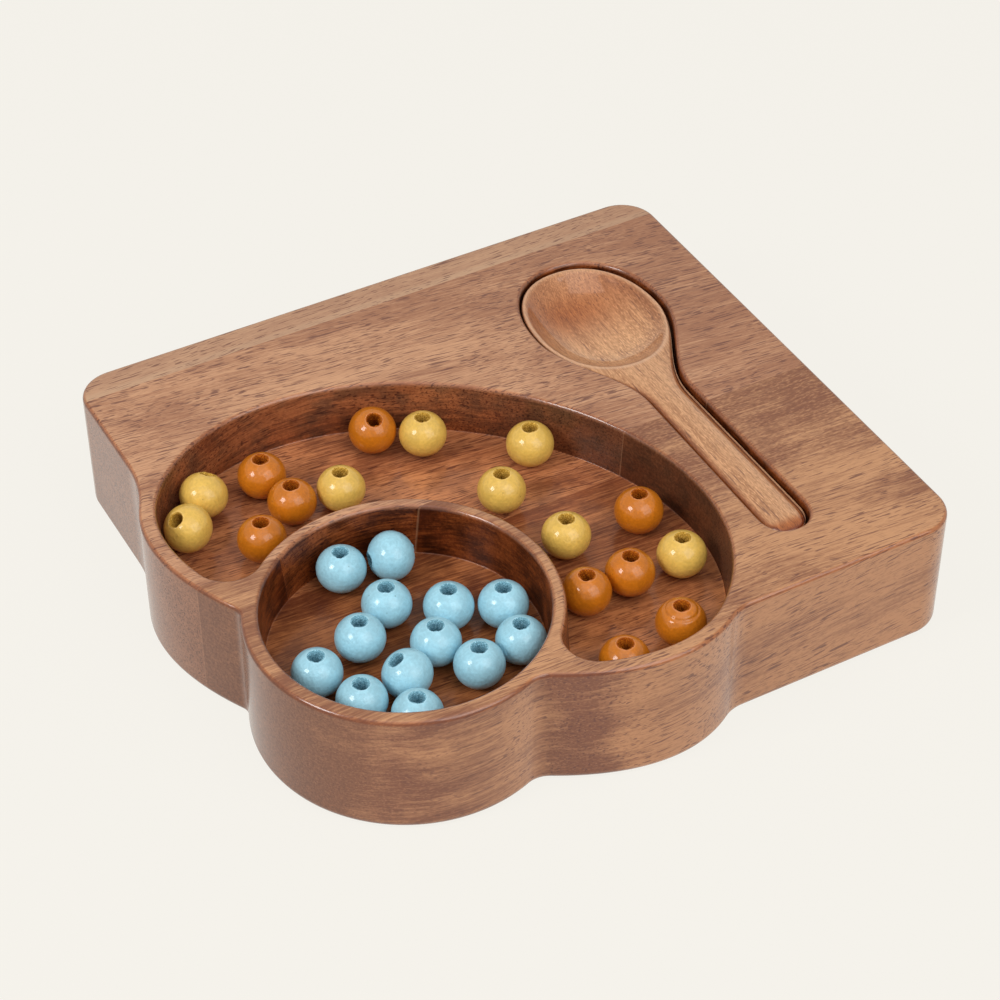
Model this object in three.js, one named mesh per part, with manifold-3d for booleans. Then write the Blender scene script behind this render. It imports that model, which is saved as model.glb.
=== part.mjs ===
// A wooden tray for sorting beads. A round bowl sits in one corner, a crescent pocket wraps round the
// bowl, and a spoon lies in a recess of its own. Thirty loose beads lie in the two pockets.
// Millimetres, +Z up. X runs along the grain, and the spoon lies along Y.
import * as THREE from 'three';
import { mergeVertices } from 'three/addons/utils/BufferGeometryUtils.js';
import Module from 'manifold-3d';

// Tray body
const TRAY_HEIGHT = 43;
const CORNER_RADIUS = 12;
const TOP_EDGE_RADIUS = 1.6;
const BOTTOM_EDGE_RADIUS = 3;
const SPOON_MARGIN = 20.4; // wood between the spoon's recess and the back, right and front sides
const SPOON_RIB = 7.5; // wood between the crescent and the recess of the spoon's handle
const FRONT_STAVE_WIDTH = 82.7;
const REAR_STAVE_WIDTH = 11.4;

// Both bead pockets
const POCKET_DEPTH = 17.9;
const POCKET_TAPER = 0.8; // the floor is this much smaller than the mouth, all round
const RIM_RADIUS = 1;

// Round bowl, whose centre is the zero of the layout
const BOWL_RADIUS = 41.8;
const BOWL_WALL = 5.2;
const DIVIDER_WALL = 4.2;
const BOWL_PAST_LEFT = 1.9; // the bowl's wall stands this far out of the left side's line
const BOWL_BEHIND_FRONT = 0.6; // and this far behind the front side's line

// Crescent pocket, an egg-shaped outline that the bowl's wall bites into
const CRESCENT_ANGLE = 44; // degrees from X to the crescent's middle, seen from the bowl
const CRESCENT_WIDTH = 53; // across its middle, from the divider to the far wall
const CRESCENT_SIDE_REACH = 40.3; // the outline's half width past the divider
const CRESCENT_SHIFT = 32.6; // from the bowl's centre to the outline's widest place
const CRESCENT_NEAR = 47.9; // from the widest place to the outline's near end
const CRESCENT_NEAR_POWER = 2.3; // squareness of the near half, where 2 is an ellipse
const CRESCENT_END_RADIUS = 10;
const LOBE_WALL = 5.3; // wall outside the crescent's two ends
const LEFT_ROOT_RADIUS = 43; // hollow between the left side and the left lobe
const FRONT_ROOT_RADIUS = 13;
const LEFT_NOTCH_RADIUS = 5; // hollow between the left lobe and the bowl
const FRONT_NOTCH_RADIUS = 8;

// Spoon
const SPOON_BOWL_WIDTH = 43.8;
const SPOON_TIP = 29.1; // from the bowl's widest place to its tip
const SPOON_TIP_POWER = 2.2;
const SPOON_TAPER = 44; // from the widest place to the start of the handle
const HANDLE_LENGTH = 69.7;
const HANDLE_NECK_WIDTH = 13.2;
const HANDLE_END_WIDTH = 14;
const HANDLE_END_REACH = 9; // length of the rounded end
const HANDLE_END_POWER = 2.4;
const SPOON_THICKNESS = 9;
const SPOON_EDGE_RADIUS = 1;
const SPOON_BELLY = 9; // the bowl's underside is this much smaller than its rim, all round
const HANDLE_BELLY = 2.2;
const SPOON_RIM = 1.4;
const HOLLOW_DEPTH = 6;
const HOLLOW_NEAR = 24.3; // from the bowl's widest place to the hollow's edge at the neck
const HOLLOW_POWER = 2.6; // curve of the hollow's side, higher is steeper
const SPOON_SINK = 0.8; // the spoon's top lies this far below the tray's top
const SPOON_CLEARANCE = 1.8; // between the spoon and the recess when it is centred
const SPOON_DRIFT = [-1, -0.8]; // the way that the spoon has slid in its recess
const RECESS_RIM_RADIUS = 1.6;

// Beads
const BEAD_DIAMETER = 15;
const BEAD_HEIGHT = 13.6;
const BEAD_BORE = 3.9;

// Gap left where one piece rests on or beside another
const SEAT_GAP = 0.3;

// Smoothness
const CORNER_STEPS = 6;
const HOLLOW_STEPS = 5;
const LOBE_STEPS = 16;
const BOWL_STEPS = 28;
const CRESCENT_STEPS = 54;
const EDGE_STEPS = 2;
const RIM_ANGLES = [35, 70];
const RIM_OVERSHOOT = 0.5; // cutters end this far above the tray's top
const SPOON_STEPS = 12;
const HOLLOW_RINGS = 6;
const BEAD_SEGMENTS = 16;
const BEAD_STEPS = 6;
const EGG_SAMPLES = 360;
const BELLY_SHARES = [0, 0.25, 0.55, 1]; // of the height of the spoon's side
const SPOON_EDGE_ANGLES = [45, 90];
const HOLLOW_MIDDLE = 0.15; // share of the spoon's hollow that is flat
const HOLLOW_OVERSHOOT = 1.04; // its cutter ends above the rim, where it is this much wider
const SETTLE_PASSES = 400;
const HALVINGS = 60;
const TANGENT_STEP = 1e-4;
const REPEAT_DISTANCE = 0.01;

// Colours
const WOOD_FRONT = { color: 0x9c6a48, roughness: 0.5, metalness: 0 };
const WOOD_MIDDLE = { color: 0xb58358, roughness: 0.5, metalness: 0 };
const WOOD_REAR = { color: 0xa97c58, roughness: 0.5, metalness: 0 };
const WOOD_SPOON = { color: 0xbf8f5f, roughness: 0.45, metalness: 0 };
const PAINT_BLUE = { color: 0x93c9e2, roughness: 0.3, metalness: 0 };
const PAINT_ORANGE = { color: 0xcb7a1c, roughness: 0.3, metalness: 0 };
const PAINT_YELLOW = { color: 0xd3ac46, roughness: 0.3, metalness: 0 };

// Where the beads lie, in X and Y from the bowl's centre. A leaning bead adds its lean from upright and
// the direction that it leans to, both in degrees.
const BLUE_BEADS = [
  [-4.4, 32.6], [10.2, 29.8, 89, 169], [0.3, 12.9], [15.5, 3.2], [29.8, -3.7], [27.0, -19.3], [-12.8, 4.0],
  [5.1, -8.5], [12.0, -21.6], [-7.4, -15.5, 28, 156], [-29.8, -2.6], [-23.6, -18.4], [-12.5, -30.8],
];
const ORANGE_BEADS = [
  [32.0, 84.2, 22, -100], [-7.2, 81.8], [-4.3, 66.5], [-19.4, 55.7], [85.2, 12.0], [68.4, -10.2],
  [53.7, -10.9], [70.7, -35.3], [48.5, -41.5],
];
const YELLOW_BEADS = [
  [45.1, 75.4], [-26.8, 81.9, 33, 38], [-37.0, 70.5, 35, -173], [11.3, 64.6], [71.8, 54.9], [53.6, 40.2],
  [60.5, 13.0], [86.2, -10.8],
];

const { Vector2, Vector3 } = THREE;
const { degToRad, lerp, smoothstep } = THREE.MathUtils;
const wasm = await Module();
wasm.setup();

// Plane curves. Every closed curve is a list of points that runs counter-clockwise.

// Moves each point of a closed curve outwards by a distance, which may be one number or vary by point.
function grow(points, distance) {
  return points.map((point, i) => {
    const before = points.at(i - 1);
    const after = points[(i + 1) % points.length];
    const tangent = after.clone().sub(before).normalize();
    const step = typeof distance === 'function' ? distance(point) : distance;
    return new Vector2(point.x + tangent.y * step, point.y - tangent.x * step);
  });
}

const angleOf = (vector) => Math.atan2(vector.y, vector.x);

// An arc whose outward normal turns from one direction to another: counter-clockwise round a bulge,
// clockwise round a hollow.
function arc(centre, radius, fromNormal, toNormal, steps, hollow = false) {
  const full = 2 * Math.PI;
  const start = angleOf(fromNormal);
  const sense = hollow ? -1 : 1;
  const sweep = (((sense * (angleOf(toNormal) - start)) % full) + full) % full;
  return Array.from({ length: steps + 1 }, (_, i) => {
    const angle = start + (sense * sweep * i) / steps;
    return new Vector2(Math.cos(angle), Math.sin(angle)).multiplyScalar(sense * radius).add(centre);
  });
}

// An egg-shaped curve: two half superellipses that share their half width. Angle 0 is the far end.
function egg({ centre, axis, halfWidth, far, near, farPower = 2, nearPower = 2 }) {
  const point = (angle) => {
    const [c, s] = [Math.cos(angle), Math.sin(angle)];
    const [reach, power] = c >= 0 ? [far, farPower] : [near, nearPower];
    const along = Math.sign(c) * reach * Math.abs(c) ** (2 / power);
    const across = Math.sign(s) * halfWidth * Math.abs(s) ** (2 / power);
    return new Vector2(along, across).rotateAround(new Vector2(), degToRad(axis)).add(centre);
  };
  const normal = (angle) => {
    const tangent = point(angle + TANGENT_STEP).sub(point(angle - TANGENT_STEP)).normalize();
    return new Vector2(tangent.y, -tangent.x);
  };
  const offset = (angle, distance) => point(angle).addScaledVector(normal(angle), distance);
  const stretch = (from, to, steps, distance = 0) =>
    Array.from({ length: steps + 1 }, (_, i) => offset(lerp(from, to, i / steps), distance));
  return { point, normal, offset, stretch };
}

// The angle between two others at which a value changes sign.
function crossing(value, from, to) {
  const sign = Math.sign(value(from));
  let [low, high] = [from, to];
  for (let i = 0; i < HALVINGS; i += 1) {
    const middle = (low + high) / 2;
    if (Math.sign(value(middle)) === sign) low = middle;
    else high = middle;
  }
  return (low + high) / 2;
}

const halfTurn = Math.PI;
const quarterTurn = Math.PI / 2;
const LEFT = new Vector2(-1, 0);
const RIGHT = new Vector2(1, 0);
const FRONT = new Vector2(0, -1);
const BACK = new Vector2(0, 1);

// Layout, measured from the bowl's centre
const bowlCentre = new Vector2(0, 0);
const bowlOuter = BOWL_RADIUS + BOWL_WALL;
const dividerOuter = BOWL_RADIUS + DIVIDER_WALL;
const crescentAxis = new Vector2(1, 0).rotateAround(bowlCentre, degToRad(CRESCENT_ANGLE));
const crescentEgg = egg({
  centre: bowlCentre.clone().addScaledVector(crescentAxis, CRESCENT_SHIFT),
  axis: CRESCENT_ANGLE,
  halfWidth: dividerOuter + CRESCENT_SIDE_REACH,
  far: dividerOuter + CRESCENT_WIDTH - CRESCENT_SHIFT,
  near: CRESCENT_NEAR,
  nearPower: CRESCENT_NEAR_POWER,
});
const crescentCurve = crescentEgg.stretch(-halfTurn, halfTurn, EGG_SAMPLES);
const crescentRight = Math.max(...crescentCurve.map((point) => point.x));
const spoonLength = SPOON_TIP + SPOON_TAPER + HANDLE_LENGTH;
const recessHalfWidth = SPOON_BOWL_WIDTH / 2 + SPOON_CLEARANCE;
const handleHalfWidth = Math.max(HANDLE_NECK_WIDTH, HANDLE_END_WIDTH) / 2 + SPOON_CLEARANCE;
const leftSide = -bowlOuter + BOWL_PAST_LEFT;
const frontSide = -bowlOuter - BOWL_BEHIND_FRONT;
const backSide = frontSide + spoonLength + 2 * (SPOON_CLEARANCE + SPOON_MARGIN);
const recessAxis = crescentRight + SPOON_RIB + handleHalfWidth;
const rightSide = recessAxis + recessHalfWidth + SPOON_MARGIN;
const recessCentre = new Vector2(recessAxis, backSide - SPOON_MARGIN - SPOON_CLEARANCE - SPOON_TIP);
const pocketFloor = TRAY_HEIGHT - POCKET_DEPTH;
const spoonTop = TRAY_HEIGHT - SPOON_SINK;
const recessFloor = spoonTop - SPOON_THICKNESS - SEAT_GAP;

// Where a hollow of the given radius touches one of the crescent's lobes and a straight side.
function lobeRoot(turnSign, radius, sideDistance, sidewaysPart) {
  const sideways = (angle) => sidewaysPart(crescentEgg.normal(angle));
  const widest = crossing(sideways, turnSign * quarterTurn, turnSign * halfTurn);
  const outside = (angle) => sideDistance(crescentEgg.offset(angle, LOBE_WALL + radius)) + radius;
  return crossing(outside, 0, widest);
}

// Where a circle of the given radius, outside or inside the egg, touches the egg and a circle round the bowl.
function bowlContact(turnSign, radius, offset, bowlRadius) {
  const away = (angle) => crescentEgg.offset(angle, offset).distanceTo(bowlCentre) - bowlRadius - radius;
  return crossing(away, turnSign * quarterTurn, turnSign * halfTurn);
}

// The tray's outline: three round corners, and two lobes with the bowl between them.
function trayOutline() {
  const corner = (x, y, from, to) => {
    const outwards = from.clone().add(to);
    const centre = new Vector2(x, y).addScaledVector(outwards, -CORNER_RADIUS);
    return arc(centre, CORNER_RADIUS, from, to, CORNER_STEPS);
  };
  const leftRoot = lobeRoot(1, LEFT_ROOT_RADIUS, (point) => point.x - leftSide, (normal) => normal.y);
  const frontRoot = lobeRoot(-1, FRONT_ROOT_RADIUS, (point) => point.y - frontSide, (normal) => normal.x);
  const leftNotch = bowlContact(1, LEFT_NOTCH_RADIUS, LOBE_WALL + LEFT_NOTCH_RADIUS, bowlOuter);
  const frontNotch = bowlContact(-1, FRONT_NOTCH_RADIUS, LOBE_WALL + FRONT_NOTCH_RADIUS, bowlOuter);
  const centreAt = (angle, radius) => crescentEgg.offset(angle, LOBE_WALL + radius);
  const leftRootCentre = centreAt(leftRoot, LEFT_ROOT_RADIUS);
  const leftNotchCentre = centreAt(leftNotch, LEFT_NOTCH_RADIUS);
  const frontNotchCentre = centreAt(frontNotch, FRONT_NOTCH_RADIUS);
  const frontRootCentre = centreAt(frontRoot, FRONT_ROOT_RADIUS);
  const normal = crescentEgg.normal;
  const stretches = [
    corner(rightSide, frontSide, FRONT, RIGHT),
    corner(rightSide, backSide, RIGHT, BACK),
    corner(leftSide, backSide, BACK, LEFT),
    arc(leftRootCentre, LEFT_ROOT_RADIUS, LEFT, normal(leftRoot), HOLLOW_STEPS, true),
    crescentEgg.stretch(leftRoot, leftNotch, LOBE_STEPS, LOBE_WALL),
    arc(leftNotchCentre, LEFT_NOTCH_RADIUS, normal(leftNotch), leftNotchCentre, HOLLOW_STEPS, true),
    arc(bowlCentre, bowlOuter, leftNotchCentre, frontNotchCentre, BOWL_STEPS),
    arc(frontNotchCentre, FRONT_NOTCH_RADIUS, frontNotchCentre, normal(frontNotch), HOLLOW_STEPS, true),
    crescentEgg.stretch(frontNotch, frontRoot, LOBE_STEPS, LOBE_WALL),
    arc(frontRootCentre, FRONT_ROOT_RADIUS, normal(frontRoot), FRONT, HOLLOW_STEPS, true),
  ];
  return withoutRepeats(stretches.flat());
}

// Drops a point that repeats the one before it, where two stretches of a curve meet.
function withoutRepeats(points) {
  return points.filter((point, i) => point.distanceTo(points.at(i - 1)) > REPEAT_DISTANCE);
}

function bowlMouth() {
  const half = (from, to) => arc(bowlCentre, BOWL_RADIUS, from, to, BOWL_STEPS);
  return withoutRepeats([...half(RIGHT, LEFT), ...half(LEFT, RIGHT)]);
}

function crescentMouth() {
  const left = bowlContact(1, CRESCENT_END_RADIUS, -CRESCENT_END_RADIUS, dividerOuter);
  const front = bowlContact(-1, CRESCENT_END_RADIUS, -CRESCENT_END_RADIUS, dividerOuter);
  const leftCentre = crescentEgg.offset(left, -CRESCENT_END_RADIUS);
  const frontCentre = crescentEgg.offset(front, -CRESCENT_END_RADIUS);
  const toBowl = (centre) => bowlCentre.clone().sub(centre);
  const normal = crescentEgg.normal;
  const stretches = [
    crescentEgg.stretch(front, left, CRESCENT_STEPS),
    arc(leftCentre, CRESCENT_END_RADIUS, normal(left), toBowl(leftCentre), CORNER_STEPS),
    arc(bowlCentre, dividerOuter, toBowl(leftCentre), toBowl(frontCentre), BOWL_STEPS, true),
    arc(frontCentre, CRESCENT_END_RADIUS, toBowl(frontCentre), normal(front), CORNER_STEPS),
  ];
  return withoutRepeats(stretches.flat());
}

// The spoon from above, with the bowl's widest place at zero and the tip towards +Y.
function spoonOutline() {
  const tip = egg({
    centre: new Vector2(),
    axis: 90,
    halfWidth: SPOON_BOWL_WIDTH / 2,
    far: SPOON_TIP,
    near: SPOON_TIP,
    farPower: SPOON_TIP_POWER,
  });
  const end = egg({
    centre: new Vector2(0, -SPOON_TAPER - HANDLE_LENGTH + HANDLE_END_REACH),
    axis: -90,
    halfWidth: HANDLE_END_WIDTH / 2,
    far: HANDLE_END_REACH,
    near: HANDLE_END_REACH,
    farPower: HANDLE_END_POWER,
  });
  const taper = Array.from({ length: SPOON_STEPS }, (_, i) => {
    const share = (i + 1) / SPOON_STEPS;
    const blend = (1 + Math.cos(Math.PI * share)) / 2;
    return new Vector2(lerp(HANDLE_NECK_WIDTH, SPOON_BOWL_WIDTH, blend) / 2, -SPOON_TAPER * share);
  });
  const mirrored = taper.map((point) => new Vector2(-point.x, point.y));
  const stretches = [
    tip.stretch(-quarterTurn, quarterTurn, 2 * SPOON_STEPS),
    mirrored,
    end.stretch(-quarterTurn, quarterTurn, SPOON_STEPS),
    taper.reverse(),
  ];
  return withoutRepeats(stretches.flat());
}

// Solids

// A closed skin through outlines of equal point count, stacked from the lowest to the highest.
function loft(rings) {
  const count = rings[0].outline.length;
  const positions = rings.flatMap(({ outline, z }) => outline.flatMap((point) => [point.x, point.y, z]));
  const index = [];
  for (let level = 0; level < rings.length - 1; level += 1) {
    for (let i = 0; i < count; i += 1) {
      const [a, b] = [level * count + i, level * count + ((i + 1) % count)];
      index.push(a, b, b + count, a, b + count, a + count);
    }
  }
  const cap = ({ outline }, start, facing) => {
    for (const corners of THREE.ShapeUtils.triangulateShape(outline, [])) {
      const turn = Math.sign(THREE.ShapeUtils.area(corners.map((corner) => outline[corner])));
      const ordered = turn === facing ? corners : corners.toReversed();
      index.push(...ordered.map((corner) => start + corner));
    }
  };
  cap(rings[0], 0, -1);
  cap(rings.at(-1), (rings.length - 1) * count, 1);
  const geometry = new THREE.BufferGeometry();
  geometry.setAttribute('position', new THREE.Float32BufferAttribute(positions, 3));
  geometry.setIndex(index);
  return geometry;
}

function toSolid(geometry) {
  const bare = geometry.clone();
  bare.deleteAttribute('normal');
  bare.deleteAttribute('uv');
  const merged = mergeVertices(bare);
  const vertProperties = new Float32Array(merged.attributes.position.array);
  const triVerts = new Uint32Array(merged.index.array);
  return new wasm.Manifold(new wasm.Mesh({ numProp: 3, vertProperties, triVerts }));
}

function toGeometry(solid) {
  const { vertProperties, triVerts } = solid.getMesh();
  const geometry = new THREE.BufferGeometry();
  geometry.setAttribute('position', new THREE.Float32BufferAttribute(vertProperties, 3));
  geometry.setIndex(Array.from(triVerts));
  return geometry;
}

function named(name, geometry, look) {
  geometry.computeVertexNormals();
  const mesh = new THREE.Mesh(geometry, new THREE.MeshStandardMaterial(look));
  mesh.name = name;
  return mesh;
}

// The tray's block, with its bottom and top edges rounded.
function trayBlock(outline) {
  const rings = [];
  for (let i = 0; i <= EDGE_STEPS; i += 1) {
    const angle = (quarterTurn * i) / EDGE_STEPS;
    rings.push({
      outline: grow(outline, -BOTTOM_EDGE_RADIUS * (1 - Math.sin(angle))),
      z: BOTTOM_EDGE_RADIUS * (1 - Math.cos(angle)),
    });
  }
  for (let i = 0; i <= EDGE_STEPS; i += 1) {
    const angle = (quarterTurn * i) / EDGE_STEPS;
    rings.push({
      outline: grow(outline, -TOP_EDGE_RADIUS * (1 - Math.cos(angle))),
      z: TRAY_HEIGHT - TOP_EDGE_RADIUS * (1 - Math.sin(angle)),
    });
  }
  return loft(rings);
}

// What is cut away for a pocket: a flat floor, nearly upright walls and a rounded rim.
function pocketCutter(mouth, floor, taper, rim) {
  const rings = [
    { outline: grow(mouth, -taper), z: floor },
    { outline: mouth, z: TRAY_HEIGHT - rim },
  ];
  for (const angle of RIM_ANGLES.map(degToRad)) {
    rings.push({
      outline: grow(mouth, rim * (1 - Math.cos(angle))),
      z: TRAY_HEIGHT - rim * (1 - Math.sin(angle)),
    });
  }
  const last = degToRad(RIM_ANGLES.at(-1));
  const rise = RIM_OVERSHOOT + rim * (1 - Math.sin(last));
  rings.push({
    outline: grow(mouth, rim * (1 - Math.cos(last)) + rise * Math.tan(last)),
    z: TRAY_HEIGHT + RIM_OVERSHOOT,
  });
  return loft(rings);
}

function slab(fromY, toY) {
  const reach = 2 * (rightSide - leftSide);
  const box = new THREE.BoxGeometry(2 * reach, toY - fromY, 4 * TRAY_HEIGHT);
  return toSolid(box.translate(0, (fromY + toY) / 2, 0));
}

// The tray is glued up from three staves, and each is cut from the whole shape.
function trayStaves(outline, spoonCurve) {
  const recessCurve = grow(spoonCurve, SPOON_CLEARANCE).map((point) => point.add(recessCentre));
  const whole = toSolid(trayBlock(outline))
    .subtract(toSolid(pocketCutter(bowlMouth(), pocketFloor, POCKET_TAPER, RIM_RADIUS)))
    .subtract(toSolid(pocketCutter(crescentMouth(), pocketFloor, POCKET_TAPER, RIM_RADIUS)))
    .subtract(toSolid(pocketCutter(recessCurve, recessFloor, 0, RECESS_RIM_RADIUS)));
  const past = backSide - frontSide;
  const frontGlue = frontSide + FRONT_STAVE_WIDTH;
  const rearGlue = backSide - REAR_STAVE_WIDTH;
  const stave = (name, from, to, look) => named(name, toGeometry(whole.intersect(slab(from, to))), look);
  return [
    stave('tray_stave_front', frontSide - past, frontGlue, WOOD_FRONT),
    stave('tray_stave_middle', frontGlue, rearGlue, WOOD_MIDDLE),
    stave('tray_stave_rear', rearGlue, backSide + past, WOOD_REAR),
  ];
}

// The spoon: a body with a narrower underside, and a hollow cut into its bowl.
function spoon(outline) {
  const belly = (point) => lerp(HANDLE_BELLY, SPOON_BELLY, smoothstep(point.y, -SPOON_TAPER, 0));
  const sideHeight = SPOON_THICKNESS - SPOON_EDGE_RADIUS;
  const rings = BELLY_SHARES.map((share) => ({
    outline: grow(outline, (point) => -belly(point) * (1 - Math.sin(quarterTurn * share))),
    z: sideHeight * share,
  }));
  for (const angle of SPOON_EDGE_ANGLES.map(degToRad)) {
    rings.push({
      outline: grow(outline, -SPOON_EDGE_RADIUS * (1 - Math.cos(angle))),
      z: sideHeight + SPOON_EDGE_RADIUS * Math.sin(angle),
    });
  }
  const hollow = egg({
    centre: new Vector2(),
    axis: 90,
    halfWidth: SPOON_BOWL_WIDTH / 2 - SPOON_RIM,
    far: SPOON_TIP - SPOON_RIM,
    near: HOLLOW_NEAR,
    farPower: SPOON_TIP_POWER,
  }).stretch(-halfTurn, halfTurn, 3 * SPOON_STEPS).slice(1);
  const hollowRings = Array.from({ length: HOLLOW_RINGS }, (_, i) => {
    const share = lerp(HOLLOW_MIDDLE, HOLLOW_OVERSHOOT, i / (HOLLOW_RINGS - 1));
    return {
      outline: hollow.map((point) => point.clone().multiplyScalar(share)),
      z: SPOON_THICKNESS - HOLLOW_DEPTH * (1 - share ** HOLLOW_POWER),
    };
  });
  const solid = toSolid(loft(rings)).subtract(toSolid(loft(hollowRings)));
  const mesh = named('spoon', toGeometry(solid), WOOD_SPOON);
  const drift = new Vector2(...SPOON_DRIFT).setLength(SPOON_CLEARANCE - SEAT_GAP);
  mesh.position.set(recessCentre.x + drift.x, recessCentre.y + drift.y, spoonTop - SPOON_THICKNESS);
  return mesh;
}

// Beads

const beadRadius = BEAD_DIAMETER / 2;
const boreRadius = BEAD_BORE / 2;
const beadPole = BEAD_HEIGHT / 2 / Math.sqrt(1 - (boreRadius / beadRadius) ** 2);

// A slightly flattened ball with a bore through it.
function beadGeometry() {
  const top = Math.acos(boreRadius / beadRadius);
  const profile = Array.from({ length: BEAD_STEPS + 1 }, (_, i) => {
    const angle = lerp(-top, top, i / BEAD_STEPS);
    return new Vector2(beadRadius * Math.cos(angle), beadPole * Math.sin(angle));
  });
  profile.push(profile[0].clone());
  return new THREE.LatheGeometry(profile, BEAD_SEGMENTS).rotateX(quarterTurn);
}

// How high a bead's middle lies over the floor when its bore leans from upright.
function restHeight(lean) {
  const height = Math.hypot(beadRadius * Math.sin(lean), beadPole * Math.cos(lean));
  const onBoreEdge = (beadRadius ** 2 * Math.sin(lean)) / height < boreRadius;
  return onBoreEdge ? (BEAD_HEIGHT / 2) * Math.cos(lean) + boreRadius * Math.sin(lean) : height;
}

// Moves beads apart and off the wall until all of them are clear.
function settle(starts, wall) {
  const places = starts.map(([x, y]) => new Vector2(x, y));
  const pitch = BEAD_DIAMETER + SEAT_GAP;
  for (let pass = 0; pass < SETTLE_PASSES; pass += 1) {
    places.forEach((place, i) => {
      for (const other of places.slice(0, i)) {
        const apart = place.clone().sub(other);
        const push = (pitch - apart.length()) / 2;
        if (push > 0) {
          place.addScaledVector(apart.normalize(), push);
          other.addScaledVector(apart, -push);
        }
      }
      keepInside(place, wall);
    });
  }
  return places;
}

// Moves a bead away from the nearest stretch of a wall that it would touch.
function keepInside(place, wall) {
  const room = beadRadius + SEAT_GAP;
  let nearest = null;
  wall.forEach((from, i) => {
    const to = wall[(i + 1) % wall.length];
    const edge = to.clone().sub(from);
    const share = THREE.MathUtils.clamp(place.clone().sub(from).dot(edge) / edge.lengthSq(), 0, 1);
    const foot = from.clone().addScaledVector(edge, share);
    const distance = foot.distanceTo(place);
    if (!nearest || distance < nearest.distance) nearest = { distance, foot, edge };
  });
  const inwards = new Vector2(-nearest.edge.y, nearest.edge.x).normalize();
  const depth = place.clone().sub(nearest.foot).dot(inwards);
  if (depth < room) place.addScaledVector(inwards, room - depth);
}

function beadMeshes(name, starts, places, look) {
  return starts.map(([, , lean = 0, toward = 0], i) => {
    const mesh = named(`${name}_${String(i + 1).padStart(2, '0')}`, beadGeometry(), look);
    const [tilt, heading] = [degToRad(lean), degToRad(toward)];
    mesh.position.set(places[i].x, places[i].y, pocketFloor + SEAT_GAP + restHeight(tilt));
    mesh.quaternion.setFromAxisAngle(new Vector3(-Math.sin(heading), Math.cos(heading), 0), tilt);
    return mesh;
  });
}

function beads() {
  const bluePlaces = settle(BLUE_BEADS, grow(bowlMouth(), -POCKET_TAPER));
  const mixedStarts = [...ORANGE_BEADS, ...YELLOW_BEADS];
  const mixedPlaces = settle(mixedStarts, grow(crescentMouth(), -POCKET_TAPER));
  return [
    ...beadMeshes('blue_bead', BLUE_BEADS, bluePlaces, PAINT_BLUE),
    ...beadMeshes('orange_bead', ORANGE_BEADS, mixedPlaces, PAINT_ORANGE),
    ...beadMeshes('yellow_bead', YELLOW_BEADS, mixedPlaces.slice(ORANGE_BEADS.length), PAINT_YELLOW),
  ];
}

// The origin is the middle of the tray's footprint, on the surface that it stands on.
const outline = trayOutline();
const spoonCurve = spoonOutline();
const footprint = new THREE.Box2().setFromPoints(outline);
const middle = footprint.getCenter(new Vector2());
const layout = new THREE.Group();
layout.position.set(-middle.x, -middle.y, 0);
layout.add(...trayStaves(outline, spoonCurve), spoon(spoonCurve), ...beads());

const tray = new THREE.Group();
tray.add(layout);

export default tray;
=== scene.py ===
"""A wooden bead sorting tray with a round bowl, a crescent pocket, a spoon and loose beads."""
import math

import bpy
import numpy as np
from bpy.props import FloatProperty, FloatVectorProperty, PointerProperty
from mathutils import Matrix, Vector


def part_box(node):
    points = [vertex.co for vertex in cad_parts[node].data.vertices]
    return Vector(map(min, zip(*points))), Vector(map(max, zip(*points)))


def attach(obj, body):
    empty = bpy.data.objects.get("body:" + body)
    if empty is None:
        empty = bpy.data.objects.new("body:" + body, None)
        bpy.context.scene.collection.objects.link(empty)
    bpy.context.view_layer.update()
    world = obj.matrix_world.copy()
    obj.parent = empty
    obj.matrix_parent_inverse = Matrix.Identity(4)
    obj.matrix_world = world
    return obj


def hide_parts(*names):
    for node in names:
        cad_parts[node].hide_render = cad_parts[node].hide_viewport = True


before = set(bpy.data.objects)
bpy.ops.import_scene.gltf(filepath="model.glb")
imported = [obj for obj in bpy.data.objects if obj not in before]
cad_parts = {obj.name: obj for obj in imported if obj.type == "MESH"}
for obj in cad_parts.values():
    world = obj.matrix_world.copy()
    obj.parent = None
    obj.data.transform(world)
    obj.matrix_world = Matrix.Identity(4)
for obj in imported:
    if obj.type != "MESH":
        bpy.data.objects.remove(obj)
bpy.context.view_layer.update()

bl_info = {
    "name": "Bead Sorting Tray",
    "version": (1, 0, 0),
    "blender": (4, 5, 0),
    "location": "3D View > Sidebar > Bead Tray",
    "description": "Builds a wooden bead sorting tray with its spoon, its beads and a photo stage",
    "category": "Add Mesh",
}

MM = 0.001
_, FRONT_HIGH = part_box("tray_stave_front")
MIDDLE_LOW, MIDDLE_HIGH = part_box("tray_stave_middle")
REAR_LOW, REAR_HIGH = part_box("tray_stave_rear")
SPOON_LOW, SPOON_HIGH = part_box("spoon")
TRAY_TOP = FRONT_HIGH.z
RIGHT_SIDE = FRONT_HIGH.x
BACK_SIDE = REAR_HIGH.y


# Settings that a user may change

def length(name, millimetres, description):
    return FloatProperty(
        name=name, description=description, default=millimetres * MM, min=0, precision=5,
        unit="LENGTH", subtype="DISTANCE",
    )


def angle(name, degrees, description):
    return FloatProperty(
        name=name, description=description, default=math.radians(degrees),
        unit="ROTATION", subtype="ANGLE",
    )


def number(name, value, description):
    return FloatProperty(name=name, description=description, default=value)


def colour(name, value, description):
    return FloatVectorProperty(
        name=name, description=description, default=value, min=0, max=1, size=3, subtype="COLOR",
    )


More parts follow.
